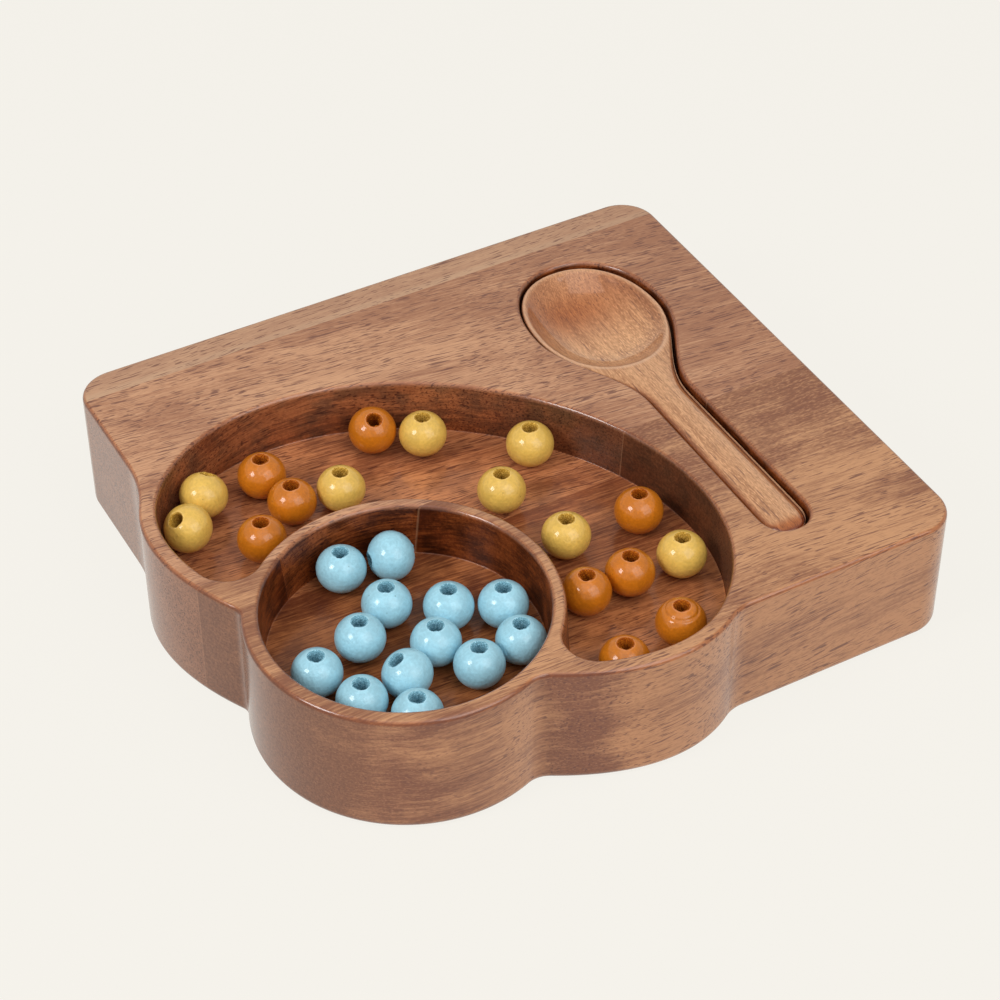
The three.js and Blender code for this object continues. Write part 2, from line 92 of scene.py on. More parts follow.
class TraySizes(bpy.types.PropertyGroup):
    """Sizes of the tray and its two bead pockets."""

    corner_radius: length("Corner Radius", 12, "Radius of the three plain corners, seen from above")
    top_edge_radius: length("Top Edge Radius", 1.6, "Rounding of the outer top edge")
    bottom_edge_radius: length("Bottom Edge Radius", 3, "Rounding of the outer bottom edge")
    spoon_margin: length("Spoon Margin", 20.4, "Wood between the spoon's recess and the tray's sides")
    spoon_rib: length("Spoon Rib", 7.5, "Wood between the crescent and the recess of the handle")
    pocket_depth: length("Pocket Depth", 17.9, "Depth of the bowl and of the crescent")
    pocket_taper: length("Pocket Taper", 0.8, "How much smaller a pocket's floor is than its mouth")
    rim_radius: length("Rim Radius", 1.6, "Rounding of the pockets' rims")
    floor_fillet: length("Floor Fillet", 0.5, "Hollow rounding where a pocket's wall meets its floor")
    bowl_radius: length("Bowl Radius", 41.8, "Radius of the round bowl's mouth")
    bowl_wall: length("Bowl Wall", 5.2, "Wall round the outside of the bowl")
    divider_wall: length("Divider Wall", 4.2, "Wall between the bowl and the crescent")
    bowl_past_left: length("Bowl Past Left", 1.9, "How far the bowl stands out of the left side's line")
    bowl_behind_front: length("Bowl Behind Front", 0.6, "How far it stays behind the front side's line")
    crescent_angle: angle("Crescent Angle", 44, "Direction of the crescent's middle from the bowl")
    crescent_width: length("Crescent Width", 53, "Width across the crescent's middle")
    crescent_side_reach: length("Side Reach", 40.3, "Half width of the crescent past the divider")
    crescent_shift: length("Crescent Shift", 32.6, "From the bowl's centre to the widest place")
    crescent_near: length("Crescent Near", 47.9, "From the widest place to the near end")
    crescent_near_power: number("Near Power", 2.3, "Squareness of the near half, 2 is an ellipse")
    crescent_end_radius: length("End Radius", 10, "Radius inside the crescent's two ends")
    lobe_wall: length("Lobe Wall", 5.3, "Wall outside the crescent's two ends")
    left_root_radius: length("Left Root", 43, "Hollow between the left side and the left lobe")
    front_root_radius: length("Front Root", 13, "Hollow between the front side and the front lobe")
    left_notch_radius: length("Left Notch", 5, "Hollow between the left lobe and the bowl")
    front_notch_radius: length("Front Notch", 8, "Hollow between the front lobe and the bowl")


class SpoonSizes(bpy.types.PropertyGroup):
    """Sizes of the spoon and of its recess."""

    bowl_width: length("Bowl Width", 43.8, "Width of the spoon's bowl")
    tip: length("Tip", 29.1, "From the bowl's widest place to its tip")
    tip_power: number("Tip Power", 2.2, "Squareness of the tip, 2 is an ellipse")
    taper: length("Taper", 44, "From the widest place to the start of the handle")
    handle_length: length("Handle Length", 69.7, "Length of the straight handle")
    neck_width: length("Neck Width", 13.2, "Handle width at the neck")
    end_width: length("End Width", 14, "Handle width at its end")
    end_reach: length("End Reach", 9, "Length of the handle's rounded end")
    end_power: number("End Power", 2.4, "Squareness of the handle's end")
    edge_radius: length("Edge Radius", 1, "Rounding of the upper edge")
    belly: length("Belly", 9, "How much smaller the bowl's underside is than its rim")
    handle_belly: length("Handle Belly", 2.2, "The same for the handle")
    handle_crown: length("Handle Crown", 2.5, "How far the handle's top falls off towards its sides")
    rim: length("Rim", 1.4, "Width of the rim round the hollow")
    hollow_depth: length("Hollow Depth", 7.7, "Depth of the hollow")
    hollow_near: length("Hollow Near", 24.3, "From the widest place to the hollow's edge at the neck")
    hollow_power: number("Hollow Power", 3.4, "Curve of the hollow's side, higher is steeper")
    clearance: length("Clearance", 1.8, "Between the spoon and its recess when it is centred")
    snugness: number("Snugness", 0.6, "How closely the recess follows the spoon as it lies, 0 to 1")
    recess_depth: length("Recess Depth", 10.1, "Depth of the recess")
    recess_rim: length("Recess Rim", 1.6, "Rounding of the recess's rim")


class BeadSizes(bpy.types.PropertyGroup):
    """Sizes of a bead."""

    diameter: length("Diameter", 15, "Width across the bore")
    height: length("Height", 13.46, "Height along the bore")
    bore: length("Bore", 4.4, "Diameter of the hole")
    lip: length("Lip", 0.36, "Rounding at the two mouths of the hole")
    fray: length("Fray", 0.42, "How ragged the wood fibres are at the hole")
    wobble: length("Wobble", 0.12, "How far a bead is from perfectly round")
    groove: length("Groove", 0.35, "Depth of the ring that the lathe left on one bead")


class WoodLook(bpy.types.PropertyGroup):
    """Colours of the oiled wood."""

    front_pale: colour("Front Pale", (0.52, 0.268, 0.135), "Pale streaks of the front stave")
    front_deep: colour("Front Deep", (0.22, 0.085, 0.045), "Reddish brown of the front stave")
    middle_pale: colour("Middle Pale", (0.575, 0.31, 0.174), "Pale streaks of the middle stave")
    middle_deep: colour("Middle Deep", (0.33, 0.147, 0.08), "Golden brown of the middle stave")
    rear_pale: colour("Rear Pale", (0.505, 0.29, 0.172), "Pale streaks of the rear stave")
    rear_deep: colour("Rear Deep", (0.385, 0.203, 0.122), "Pinkish brown of the rear stave")
    sapwood: colour("Sapwood", (0.53, 0.345, 0.22), "Pale edge of the rear stave")
    spoon_pale: colour("Spoon Pale", (0.62, 0.33, 0.165), "Pale streaks of the spoon")
    spoon_deep: colour("Spoon Deep", (0.36, 0.16, 0.07), "Light brown of the spoon")
    pore: colour("Pores", (0.125, 0.047, 0.038), "Dark dashes along the grain")


class PaintLook(bpy.types.PropertyGroup):
    """Colours of the painted beads."""

    blue: colour("Blue", (0.325, 0.6, 0.72), "Light blue paint")
    orange: colour("Orange", (0.53, 0.157, 0.008), "Orange stain")
    yellow: colour("Yellow", (0.72, 0.455, 0.095), "Mustard yellow paint")


class StageLook(bpy.types.PropertyGroup):
    """Camera, lamps and backdrop."""

    azimuth: angle("Azimuth", -28.87, "Turn of the camera about the upright axis")
    elevation: angle("Elevation", 41.59, "Height of the camera above the floor")
    roll: angle("Roll", 0.22, "Turn of the camera about its own axis")
    target_x: length("Target X", 15.03, "Point on the floor that the camera looks at")
    target_y: length("Target Y", 26.22, "Point on the floor that the camera looks at")
    distance: length("Distance", 870.2, "From the camera to that point")
    focal_length: number("Focal Length", 97.785, "In millimetres, on a sensor 36 mm wide")
    backdrop: colour("Backdrop", (0.913, 0.888, 0.831), "Warm white of the floor and backdrop")
    ambient: number("Ambient", 0.38, "Brightness of the white room")
    softbox: number("Softbox", 6.0, "Power of the large lamp in front, in watts")
    spot: number("Spot", 6.5, "Power of the small lamp on the left, in watts")
    overhead: number("Overhead", 4.0, "Power of the wide lamp above, in watts")


class BeadTraySettings(bpy.types.PropertyGroup):
    """Everything that the panel shows."""

    tray: PointerProperty(type=TraySizes)
    spoon: PointerProperty(type=SpoonSizes)
    bead: PointerProperty(type=BeadSizes)
    wood: PointerProperty(type=WoodLook)
    paint: PointerProperty(type=PaintLook)
    stage: PointerProperty(type=StageLook)


# Plane curves, each a closed list of points that runs counter-clockwise

HALF_TURN = math.pi
QUARTER_TURN = math.pi / 2
LEFT, RIGHT = np.array((-1.0, 0.0)), np.array((1.0, 0.0))
FRONT, BACK = np.array((0.0, -1.0)), np.array((0.0, 1.0))
HALVINGS = 60
TANGENT_STEP = 1e-4
REPEAT_DISTANCE = 1e-6


def direction(turn):
    return np.array((math.cos(turn), math.sin(turn)))


def grow(points, distance):
    """Moves each point of a closed curve outwards, by one distance or by one for each point."""
    tangent = np.roll(points, -1, axis=0) - np.roll(points, 1, axis=0)
    tangent /= np.linalg.norm(tangent, axis=1)[:, None]
    outwards = np.column_stack((tangent[:, 1], -tangent[:, 0]))
    return points + outwards * np.reshape(distance, (-1, 1))


def arc(centre, radius, from_normal, to_normal, steps, hollow=False):
    """An arc whose outward normal turns counter-clockwise round a bulge, clockwise round a hollow."""
    start = math.atan2(from_normal[1], from_normal[0])
    end = math.atan2(to_normal[1], to_normal[0])
    sense = -1 if hollow else 1
    sweep = (sense * (end - start)) % (2 * HALF_TURN)
    turns = start + sense * np.linspace(0, sweep, steps + 1)
    return centre + sense * radius * np.column_stack((np.cos(turns), np.sin(turns)))


def without_repeats(points):
    """Drops a point that repeats the one before it, where two stretches of a curve meet."""
    gaps = np.linalg.norm(points - np.roll(points, 1, axis=0), axis=1)
    return points[gaps > REPEAT_DISTANCE]


def crossing(value, start, end):
    """The angle between two others at which a value changes sign."""
    sign = value(start) > 0
    low, high = start, end
    for _ in range(HALVINGS):
        middle = (low + high) / 2
        if (value(middle) > 0) == sign:
            low = middle
        else:
            high = middle
    return (low + high) / 2


def inside(points, polygon):
    """Which points lie inside a polygon."""
    found = np.zeros(len(points), bool)
    for start, end in zip(polygon, np.roll(polygon, -1, axis=0)):
        spans = (start[1] > points[:, 1]) != (end[1] > points[:, 1])
        rise = end[1] - start[1] or 1.0
        meets = start[0] + (points[:, 1] - start[1]) * (end[0] - start[0]) / rise
        found ^= spans & (points[:, 0] < meets)
    return found


class Egg:
    """Two half superellipses that share their half width. Angle 0 is the far end."""

    def __init__(self, centre, axis, half_width, far, near, far_power=2.0, near_power=2.0):
        self.centre = np.array(centre, float)
        self.along = direction(axis)
        self.across = direction(axis + QUARTER_TURN)
        self.half_width = half_width
        self.halves = ((near, near_power), (far, far_power))

    def point(self, turn):
        c, s = math.cos(turn), math.sin(turn)
        reach, power = self.halves[c >= 0]
        along = math.copysign(abs(c) ** (2 / power), c) * reach
        across = math.copysign(abs(s) ** (2 / power), s) * self.half_width
        return self.centre + along * self.along + across * self.across

    def normal(self, turn):
        tangent = self.point(turn + TANGENT_STEP) - self.point(turn - TANGENT_STEP)
        tangent /= np.linalg.norm(tangent)
        return np.array((tangent[1], -tangent[0]))

    def offset(self, turn, distance):
        return self.point(turn) + self.normal(turn) * distance

    def stretch(self, start, end, steps, distance=0.0):
        return np.array([self.offset(turn, distance) for turn in np.linspace(start, end, steps + 1)])


# Plan of the tray

CORNER_STEPS = 16
HOLLOW_STEPS = 16
LOBE_STEPS = 48
BOWL_STEPS = 96
CRESCENT_STEPS = 160
EGG_STEPS = 360
SPOON_STEPS = 40
TAPER_STEPS = 90


def spoon_outline(spoon):
    """The spoon from above, with the bowl's widest place at zero and the tip towards +Y."""
    tip = Egg((0, 0), QUARTER_TURN, spoon.bowl_width / 2, spoon.tip, spoon.tip, spoon.tip_power)
    end_centre = (0, -spoon.taper - spoon.handle_length + spoon.end_reach)
    end = Egg(
        end_centre, -QUARTER_TURN, spoon.end_width / 2, spoon.end_reach, spoon.end_reach, spoon.end_power,
    )
    share = np.linspace(0, 1, TAPER_STEPS + 1)[1:]
    blend = (1 + np.cos(HALF_TURN * share)) / 2
    width = spoon.neck_width + (spoon.bowl_width - spoon.neck_width) * blend
    taper = np.column_stack((width / 2, -spoon.taper * share))
    run = np.linspace(0, 1, TAPER_STEPS + 1)[1:-1, None]
    side_end = np.array((spoon.end_width / 2, end_centre[1]))
    handle = taper[-1] + (side_end - taper[-1]) * run
    side = np.vstack((taper, handle))
    stretches = (
        tip.stretch(-QUARTER_TURN, QUARTER_TURN, 2 * SPOON_STEPS),
        side * (-1, 1),
        end.stretch(-QUARTER_TURN, QUARTER_TURN, SPOON_STEPS),
        side[::-1],
    )
    return without_repeats(np.vstack(stretches))


def spoon_middle(spoon):
    """Where the widest place of the spoon lies in the tray."""
    return np.array(((SPOON_LOW.x + SPOON_HIGH.x) / 2, SPOON_HIGH.y - spoon.tip))


class Plan:
    """Where everything lies, worked out from the bowl's centre and set against the frame's sides."""

    def __init__(self, tray, spoon):
        self.tray, self.spoon = tray, spoon
        self.bowl_outer = tray.bowl_radius + tray.bowl_wall
        self.divider_outer = tray.bowl_radius + tray.divider_wall
        self.bowl = np.zeros(2)
        self.egg = Egg(
            direction(tray.crescent_angle) * tray.crescent_shift,
            tray.crescent_angle,
            self.divider_outer + tray.crescent_side_reach,
            self.divider_outer + tray.crescent_width - tray.crescent_shift,
            tray.crescent_near,
            near_power=tray.crescent_near_power,
        )
        crescent_right = self.egg.stretch(-HALF_TURN, HALF_TURN, EGG_STEPS)[:, 0].max()
        handle_half = max(spoon.neck_width, spoon.end_width) / 2 + spoon.clearance
        recess_half = spoon.bowl_width / 2 + spoon.clearance
        spoon_length = spoon.tip + spoon.taper + spoon.handle_length
        around = spoon.clearance + tray.spoon_margin
        self.left = -self.bowl_outer + tray.bowl_past_left
        self.front = -self.bowl_outer - tray.bowl_behind_front
        self.back = self.front + spoon_length + 2 * around
        recess_axis = crescent_right + tray.spoon_rib + handle_half
        self.right = recess_axis + recess_half + tray.spoon_margin
        self.recess = np.array((recess_axis, self.back - around - spoon.tip))
        self.shift = np.array((RIGHT_SIDE - self.right, BACK_SIDE - self.back))

    def lobe_root(self, sense, radius, to_side, sideways):
        """Where a hollow of the given radius touches one of the lobes and a straight side."""
        widest = crossing(
            lambda turn: sideways(self.egg.normal(turn)), sense * QUARTER_TURN, sense * HALF_TURN,
        )
        reach = self.tray.lobe_wall + radius
        return crossing(lambda turn: to_side(self.egg.offset(turn, reach)) + radius, 0, widest)

    def bowl_contact(self, sense, radius, offset, bowl_radius):
        """Where a circle of the given radius touches the egg and a circle round the bowl."""
        return crossing(
            lambda turn: np.linalg.norm(self.egg.offset(turn, offset)) - bowl_radius - radius,
            sense * QUARTER_TURN, sense * HALF_TURN,
        )

    def outline(self):
        """Three round corners, and two lobes with the bowl between them."""
        tray, egg, normal = self.tray, self.egg, self.egg.normal
        wall = tray.lobe_wall

        def corner(x, y, start, end):
            centre = np.array((x, y)) - tray.corner_radius * (start + end)
            return arc(centre, tray.corner_radius, start, end, CORNER_STEPS)

        def lobe(sense, root_radius, radius, to_side, sideways):
            root = self.lobe_root(sense, root_radius, to_side, sideways)
            notch = self.bowl_contact(sense, radius, wall + radius, self.bowl_outer)
            return root, egg.offset(root, wall + root_radius), notch, egg.offset(notch, wall + radius)

        left_radius, front_radius = tray.left_notch_radius, tray.front_notch_radius
        left_root, left_root_centre, left_notch, left_centre = lobe(
            1, tray.left_root_radius, left_radius, lambda p: p[0] - self.left, lambda n: n[1],
        )
        front_root, front_root_centre, front_notch, front_centre = lobe(
            -1, tray.front_root_radius, front_radius, lambda p: p[1] - self.front, lambda n: n[0],
        )
        stretches = (
            corner(self.right, self.front, FRONT, RIGHT),
            corner(self.right, self.back, RIGHT, BACK),
            corner(self.left, self.back, BACK, LEFT),
            arc(left_root_centre, tray.left_root_radius, LEFT, normal(left_root), HOLLOW_STEPS, True),
            egg.stretch(left_root, left_notch, LOBE_STEPS, wall),
            arc(left_centre, left_radius, normal(left_notch), left_centre, HOLLOW_STEPS, True),
            arc(self.bowl, self.bowl_outer, left_centre, front_centre, BOWL_STEPS),
            arc(front_centre, front_radius, front_centre, normal(front_notch), HOLLOW_STEPS, True),
            egg.stretch(front_notch, front_root, LOBE_STEPS, wall),
            arc(front_root_centre, tray.front_root_radius, normal(front_root), FRONT, HOLLOW_STEPS, True),
        )
        return self.shift + without_repeats(np.vstack(stretches))

    def bowl_mouth(self):
        ends = ((RIGHT, LEFT), (LEFT, RIGHT))
        halves = [arc(self.bowl, self.tray.bowl_radius, *half, BOWL_STEPS) for half in ends]
        return self.shift + without_repeats(np.vstack(halves))

    def crescent_mouth(self):
        radius, egg, normal = self.tray.crescent_end_radius, self.egg, self.egg.normal
        left = self.bowl_contact(1, radius, -radius, self.divider_outer)
        front = self.bowl_contact(-1, radius, -radius, self.divider_outer)
        left_centre, front_centre = egg.offset(left, -radius), egg.offset(front, -radius)
        stretches = (
            egg.stretch(front, left, CRESCENT_STEPS),
            arc(left_centre, radius, normal(left), -left_centre, CORNER_STEPS),
            arc(self.bowl, self.divider_outer, -left_centre, -front_centre, BOWL_STEPS, True),
            arc(front_centre, radius, -front_centre, normal(front), CORNER_STEPS),
        )
        return self.shift + without_repeats(np.vstack(stretches))

    def recess_mouth(self):
        """Follows the spoon as it lies, within the space that the spoon has when it is centred."""
        centre = self.shift + self.recess
        nearer = self.spoon.snugness * (spoon_middle(self.spoon) - centre)
        room = self.spoon.clearance - np.linalg.norm(nearer)
        return centre + nearer + grow(spoon_outline(self.spoon), room)


# Meshes

EDGE_STEPS = 8
RIM_OVERSHOOT = 0.5 * MM
RIM_LAST = math.radians(82)
SHARP_ANGLE = math.radians(40)


def skin(rings, closed=True):
    """Vertices and faces of a skin through outlines of equal point count, with its two ends capped."""
    count = len(rings[0][0])
    vertices = np.vstack([np.column_stack((points, np.broadcast_to(z, count))) for points, z in rings])
    faces = []
    for level in range(len(rings) - 1):
        start = level * count
        for i in range(count):
            after = (i + 1) % count
            faces.append((start + i, start + after, start + count + after, start + count + i))
    if closed:
        last = (len(rings) - 1) * count
        faces.append(tuple(reversed(range(count))))
        faces.append(tuple(range(last, last + count)))
    return vertices, faces


def mesh_of(name, *skins):
    """One mesh of several skins that lie apart."""
    vertices, faces = [], []
    for points, polygons in skins:
        start = len(vertices)
        vertices.extend(map(tuple, points))
        faces.extend(tuple(start + corner for corner in polygon) for polygon in polygons)
    mesh = bpy.data.meshes.new(name)
    mesh.from_pydata(vertices, [], faces)
    return mesh


def added(name, data):
    """A new object in the scene, which holds a mesh, a lamp or a camera."""
    piece = bpy.data.objects.new(name, data)
    bpy.context.scene.collection.objects.link(piece)
    return piece


def settle(piece):
    """Turns what the modifiers make into the piece's own plain mesh."""
    depsgraph = bpy.context.evaluated_depsgraph_get()
    made = bpy.data.meshes.new_from_object(
        piece.evaluated_get(depsgraph), preserve_all_data_layers=True, depsgraph=depsgraph,
    )
    piece.modifiers.clear()
    piece.data = made
    if not made.polygons:
        raise RuntimeError(f"{piece.name} has no faces")
    return piece


def points_of(mesh):
    places = np.empty(3 * len(mesh.vertices))
    mesh.vertices.foreach_get("co", places)
    return places.reshape(-1, 3)


def store(mesh, name, values):
    """Keeps one number for each point of a mesh."""
    attribute = mesh.attributes.new(name, "FLOAT", "POINT")
    attribute.data.foreach_set("value", np.asarray(values, np.float32))


def finished(piece, body, node):
    """Puts a piece on its body, in place of its solid."""
    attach(piece, body)
    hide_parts(node)


def rounded_block(outline, bottom, top):
    """The tray's outline as a block with round edges."""
    turns = np.linspace(0, QUARTER_TURN, EDGE_STEPS + 1)
    rings = [(grow(outline, -bottom * (1 - math.sin(t))), bottom * (1 - math.cos(t))) for t in turns]
    rings += [(grow(outline, -top * (1 - math.cos(t))), TRAY_TOP - top * (1 - math.sin(t))) for t in turns]
    return skin(rings)


def pocket(mouth, depth, taper, rim, fillet):
    """What is cut away for a pocket: a flat floor, a fillet, nearly upright walls and a round rim."""
    turns = np.linspace(0, QUARTER_TURN, EDGE_STEPS + 1)
    floor = TRAY_TOP - depth
    rings = [
        (grow(mouth, -taper - fillet * (1 - math.sin(t))), floor + fillet * (1 - math.cos(t))) for t in turns
    ]
    for t in np.linspace(0, RIM_LAST, EDGE_STEPS + 1):
        rings.append((grow(mouth, rim * (1 - math.cos(t))), TRAY_TOP - rim * (1 - math.sin(t))))
    rise = RIM_OVERSHOOT + rim * (1 - math.sin(RIM_LAST))
    spread = rim * (1 - math.cos(RIM_LAST)) + rise * math.tan(RIM_LAST)
    rings.append((grow(mouth, spread), TRAY_TOP + RIM_OVERSHOOT))
    return skin(rings)


# Node trees

class Value:
    """A node's output that takes part in Python arithmetic by adding Math nodes."""

    def __init__(self, nodes, socket):
        self.nodes, self.socket = nodes, socket

    def __add__(self, other):
        return self.nodes.math("ADD", self, other)

    def __sub__(self, other):
        return self.nodes.math("SUBTRACT", self, other)

    def __rsub__(self, other):
        return self.nodes.math("SUBTRACT", other, self)

    def __mul__(self, other):
        return self.nodes.math("MULTIPLY", self, other)

    def __truediv__(self, other):
        return self.nodes.math("DIVIDE", self, other)

    __radd__ = __add__
    __rmul__ = __mul__


class Nodes:
    """A node tree that is built by short calls."""

    def __init__(self, tree):
        self.tree = tree

    def node(self, kind, settings=None, sockets=None):
        """Adds a node: its settings first, then the values or links of its sockets."""
        node = self.tree.nodes.new(kind)
        for key, value in (settings or {}).items():
            setattr(node, key, value)
        for key, value in (sockets or {}).items():
            for one in value if isinstance(value, list) else [value]:
                if isinstance(one, Value):
                    self.tree.links.new(one.socket, node.inputs[key])
                else:
                    node.inputs[key].default_value = one
        return node

    def out(self, name, kind, settings=None, sockets=None):
        """One output of a new node."""
        return Value(self, self.node(kind, settings, sockets).outputs[name])

    def math(self, operation, *values):
        return self.out("Value", "ShaderNodeMath", {"operation": operation}, dict(enumerate(values)))

    def vectors(self, operation, *values, name="Vector"):
        return self.out(name, "ShaderNodeVectorMath", {"operation": operation}, dict(enumerate(values)))

    def part(self, axis, vector):
        return self.out(axis, "ShaderNodeSeparateXYZ", None, {"Vector": vector})

    def step(self, value, low, high):
        """0 below low, 1 above high and a smooth rise between them."""
        return self.out(
            "Result", "ShaderNodeMapRange", {"interpolation_type": "SMOOTHSTEP"},
            {"Value": value, "From Min": low, "From Max": high},
        )


# Geometry Nodes

class Tree(Nodes):
    """A geometry node tree with named inputs, of which the material is one."""

    def __init__(self, name, inputs):
        super().__init__(bpy.data.node_groups.new(name, "GeometryNodeTree"))
        face = self.tree.interface
        face.new_socket("Geometry", in_out="OUTPUT", socket_type="NodeSocketGeometry")
        for label, kind in {"Geometry": "Geometry", **inputs, "Material": "Material"}.items():
            face.new_socket(label, in_out="INPUT", socket_type=f"NodeSocket{kind}")
        sockets = self.tree.nodes.new("NodeGroupInput").outputs
        self.given = {socket.name: Value(self, socket) for socket in sockets}

    def finish(self, geometry):
        """Ends the tree with plain geometry in the material that it was given."""
        real = self.out("Geometry", "GeometryNodeRealizeInstances", None, {"Geometry": geometry})
        sockets = {"Geometry": real, "Material": self.given["Material"]}
        dressed = self.out("Geometry", "GeometryNodeSetMaterial", None, sockets)
        self.node("NodeGroupOutput", None, {"Geometry": dressed})
        return self.tree


def apply_tree(piece, tree, values):
    """Runs a tree on a piece, with its inputs set by their identifiers."""
    modifier = piece.modifiers.new(tree.name, "NODES")
    modifier.node_group = tree
    for item in tree.interface.items_tree:
        if item.in_out == "INPUT" and item.name in values:
            modifier[item.identifier] = values[item.name]


def stave_tree():
    """Cuts the pockets out of the block, and keeps what lies between two glue lines."""
    tree = Tree("Stave", {"Pockets": "Object", "From": "Float", "To": "Float"})
    start, end = tree.given["From"], tree.given["To"]
    pockets = tree.out(
        "Geometry", "GeometryNodeObjectInfo", {"transform_space": "ORIGINAL"},
        {"Object": tree.given["Pockets"]},
    )
    hollowed = tree.out(
        "Mesh", "GeometryNodeMeshBoolean", {"operation": "DIFFERENCE", "solver": "MANIFOLD"},
        {"Mesh 1": tree.given["Geometry"], "Mesh 2": pockets},
    )
    reach = 4 * RIGHT_SIDE
    size = tree.out("Vector", "ShaderNodeCombineXYZ", None, {"X": reach, "Y": end - start, "Z": reach})
    place = tree.out("Vector", "ShaderNodeCombineXYZ", None, {"Y": (end + start) / 2})
    cube = tree.out("Mesh", "GeometryNodeMeshCube", None, {"Size": size})
    slab = tree.out("Geometry", "GeometryNodeTransform", None, {"Geometry": cube, "Translation": place})
    stave = tree.out(
        "Mesh", "GeometryNodeMeshBoolean", {"operation": "INTERSECT", "solver": "MANIFOLD"},
        {"Mesh 2": [hollowed, slab]},
    )
    fold = tree.out("Unsigned Angle", "GeometryNodeInputMeshEdgeAngle")
    gentle = tree.out(
        "Result", "FunctionNodeCompare", {"operation": "LESS_THAN"}, {"A": fold, "B": SHARP_ANGLE},
    )
    smooth = tree.out("Geometry", "GeometryNodeSetShadeSmooth", None, {"Geometry": stave})
    eased = tree.out(
        "Geometry", "GeometryNodeSetShadeSmooth", {"domain": "EDGE"},
        {"Geometry": smooth, "Shade Smooth": gentle},
    )
    return tree.finish(eased)


BEAD_SEGMENTS = 96
BEAD_NUMBERS = ("Bore Radius", "Bead Radius", "Lip", "Fray", "Wobble", "Groove", "Seed")
LIP_SPREAD = 2.5
FRAY_SCALE = 700.0
FRAY_GAIN = 4.0
WOBBLE_SCALE = 110.0
WOBBLE_GAIN = 2.0
GROOVE_PLACE = 0.66
GROOVE_WIDTH = 0.03


def bead_tree():
    """Turns a bead's profile about its bore, roughens it and sets it in its place."""
    numbers = dict.fromkeys(BEAD_NUMBERS, "Float")
    tree = Tree("Turned Bead", {**numbers, "Axis": "Vector", "Place": "Vector"})
    given = tree.given
    bore_radius = given["Bore Radius"]
    rail = tree.out(
        "Curve", "GeometryNodeCurvePrimitiveCircle", None,
        {"Resolution": BEAD_SEGMENTS, "Radius": bore_radius},
    )
    profile = tree.out("Curve", "GeometryNodeMeshToCurve", None, {"Mesh": given["Geometry"]})
    turned = tree.out("Mesh", "GeometryNodeCurveToMesh", None, {"Curve": rail, "Profile Curve": profile})
    position = tree.out("Position", "GeometryNodeInputPosition")
    normal = tree.out("Normal", "GeometryNodeInputNormal")
    radius = tree.vectors("LENGTH", tree.vectors("MULTIPLY", position, (1, 1, 0)), name="Value")
    bore = 1 - tree.step(radius, bore_radius, bore_radius + given["Lip"] * LIP_SPREAD)
    marked = tree.out(
        "Geometry", "GeometryNodeStoreNamedAttribute", {"data_type": "FLOAT", "domain": "POINT"},
        {"Geometry": turned, "Name": "bore", "Value": bore},
    )

    def noise(scale, detail):
        texture = tree.out(
            "Fac", "ShaderNodeTexNoise", {"noise_dimensions": "4D"},
            {"Vector": position, "W": given["Seed"], "Scale": scale, "Detail": detail},
        )
        return texture - 0.5

    swell = noise(WOBBLE_SCALE, 1.0) * (given["Wobble"] * WOBBLE_GAIN)
    ragged = noise(FRAY_SCALE, 3.0) * (given["Fray"] * FRAY_GAIN) * bore
    offset = (radius / given["Bead Radius"] - GROOVE_PLACE) / GROOVE_WIDTH
    ring = tree.math("EXPONENT", offset * offset * -1.0)
    upper = tree.math("GREATER_THAN", tree.part("Z", position), 0.0)
    push = swell + ragged - ring * upper * given["Groove"]
    moved = tree.out(
        "Vector", "ShaderNodeVectorMath", {"operation": "SCALE"}, {"Vector": normal, "Scale": push},
    )
    rough = tree.out("Geometry", "GeometryNodeSetPosition", None, {"Geometry": marked, "Offset": moved})
    lean = tree.out(
        "Rotation", "FunctionNodeAlignRotationToVector", {"axis": "Z"}, {"Vector": given["Axis"]},
    )
    set_down = tree.out(
        "Geometry", "GeometryNodeTransform", None,
        {"Geometry": rough, "Rotation": lean, "Translation": given["Place"]},
    )
    return tree.finish(tree.out("Geometry", "GeometryNodeSetShadeSmooth", None, {"Geometry": set_down}))


# Shaders

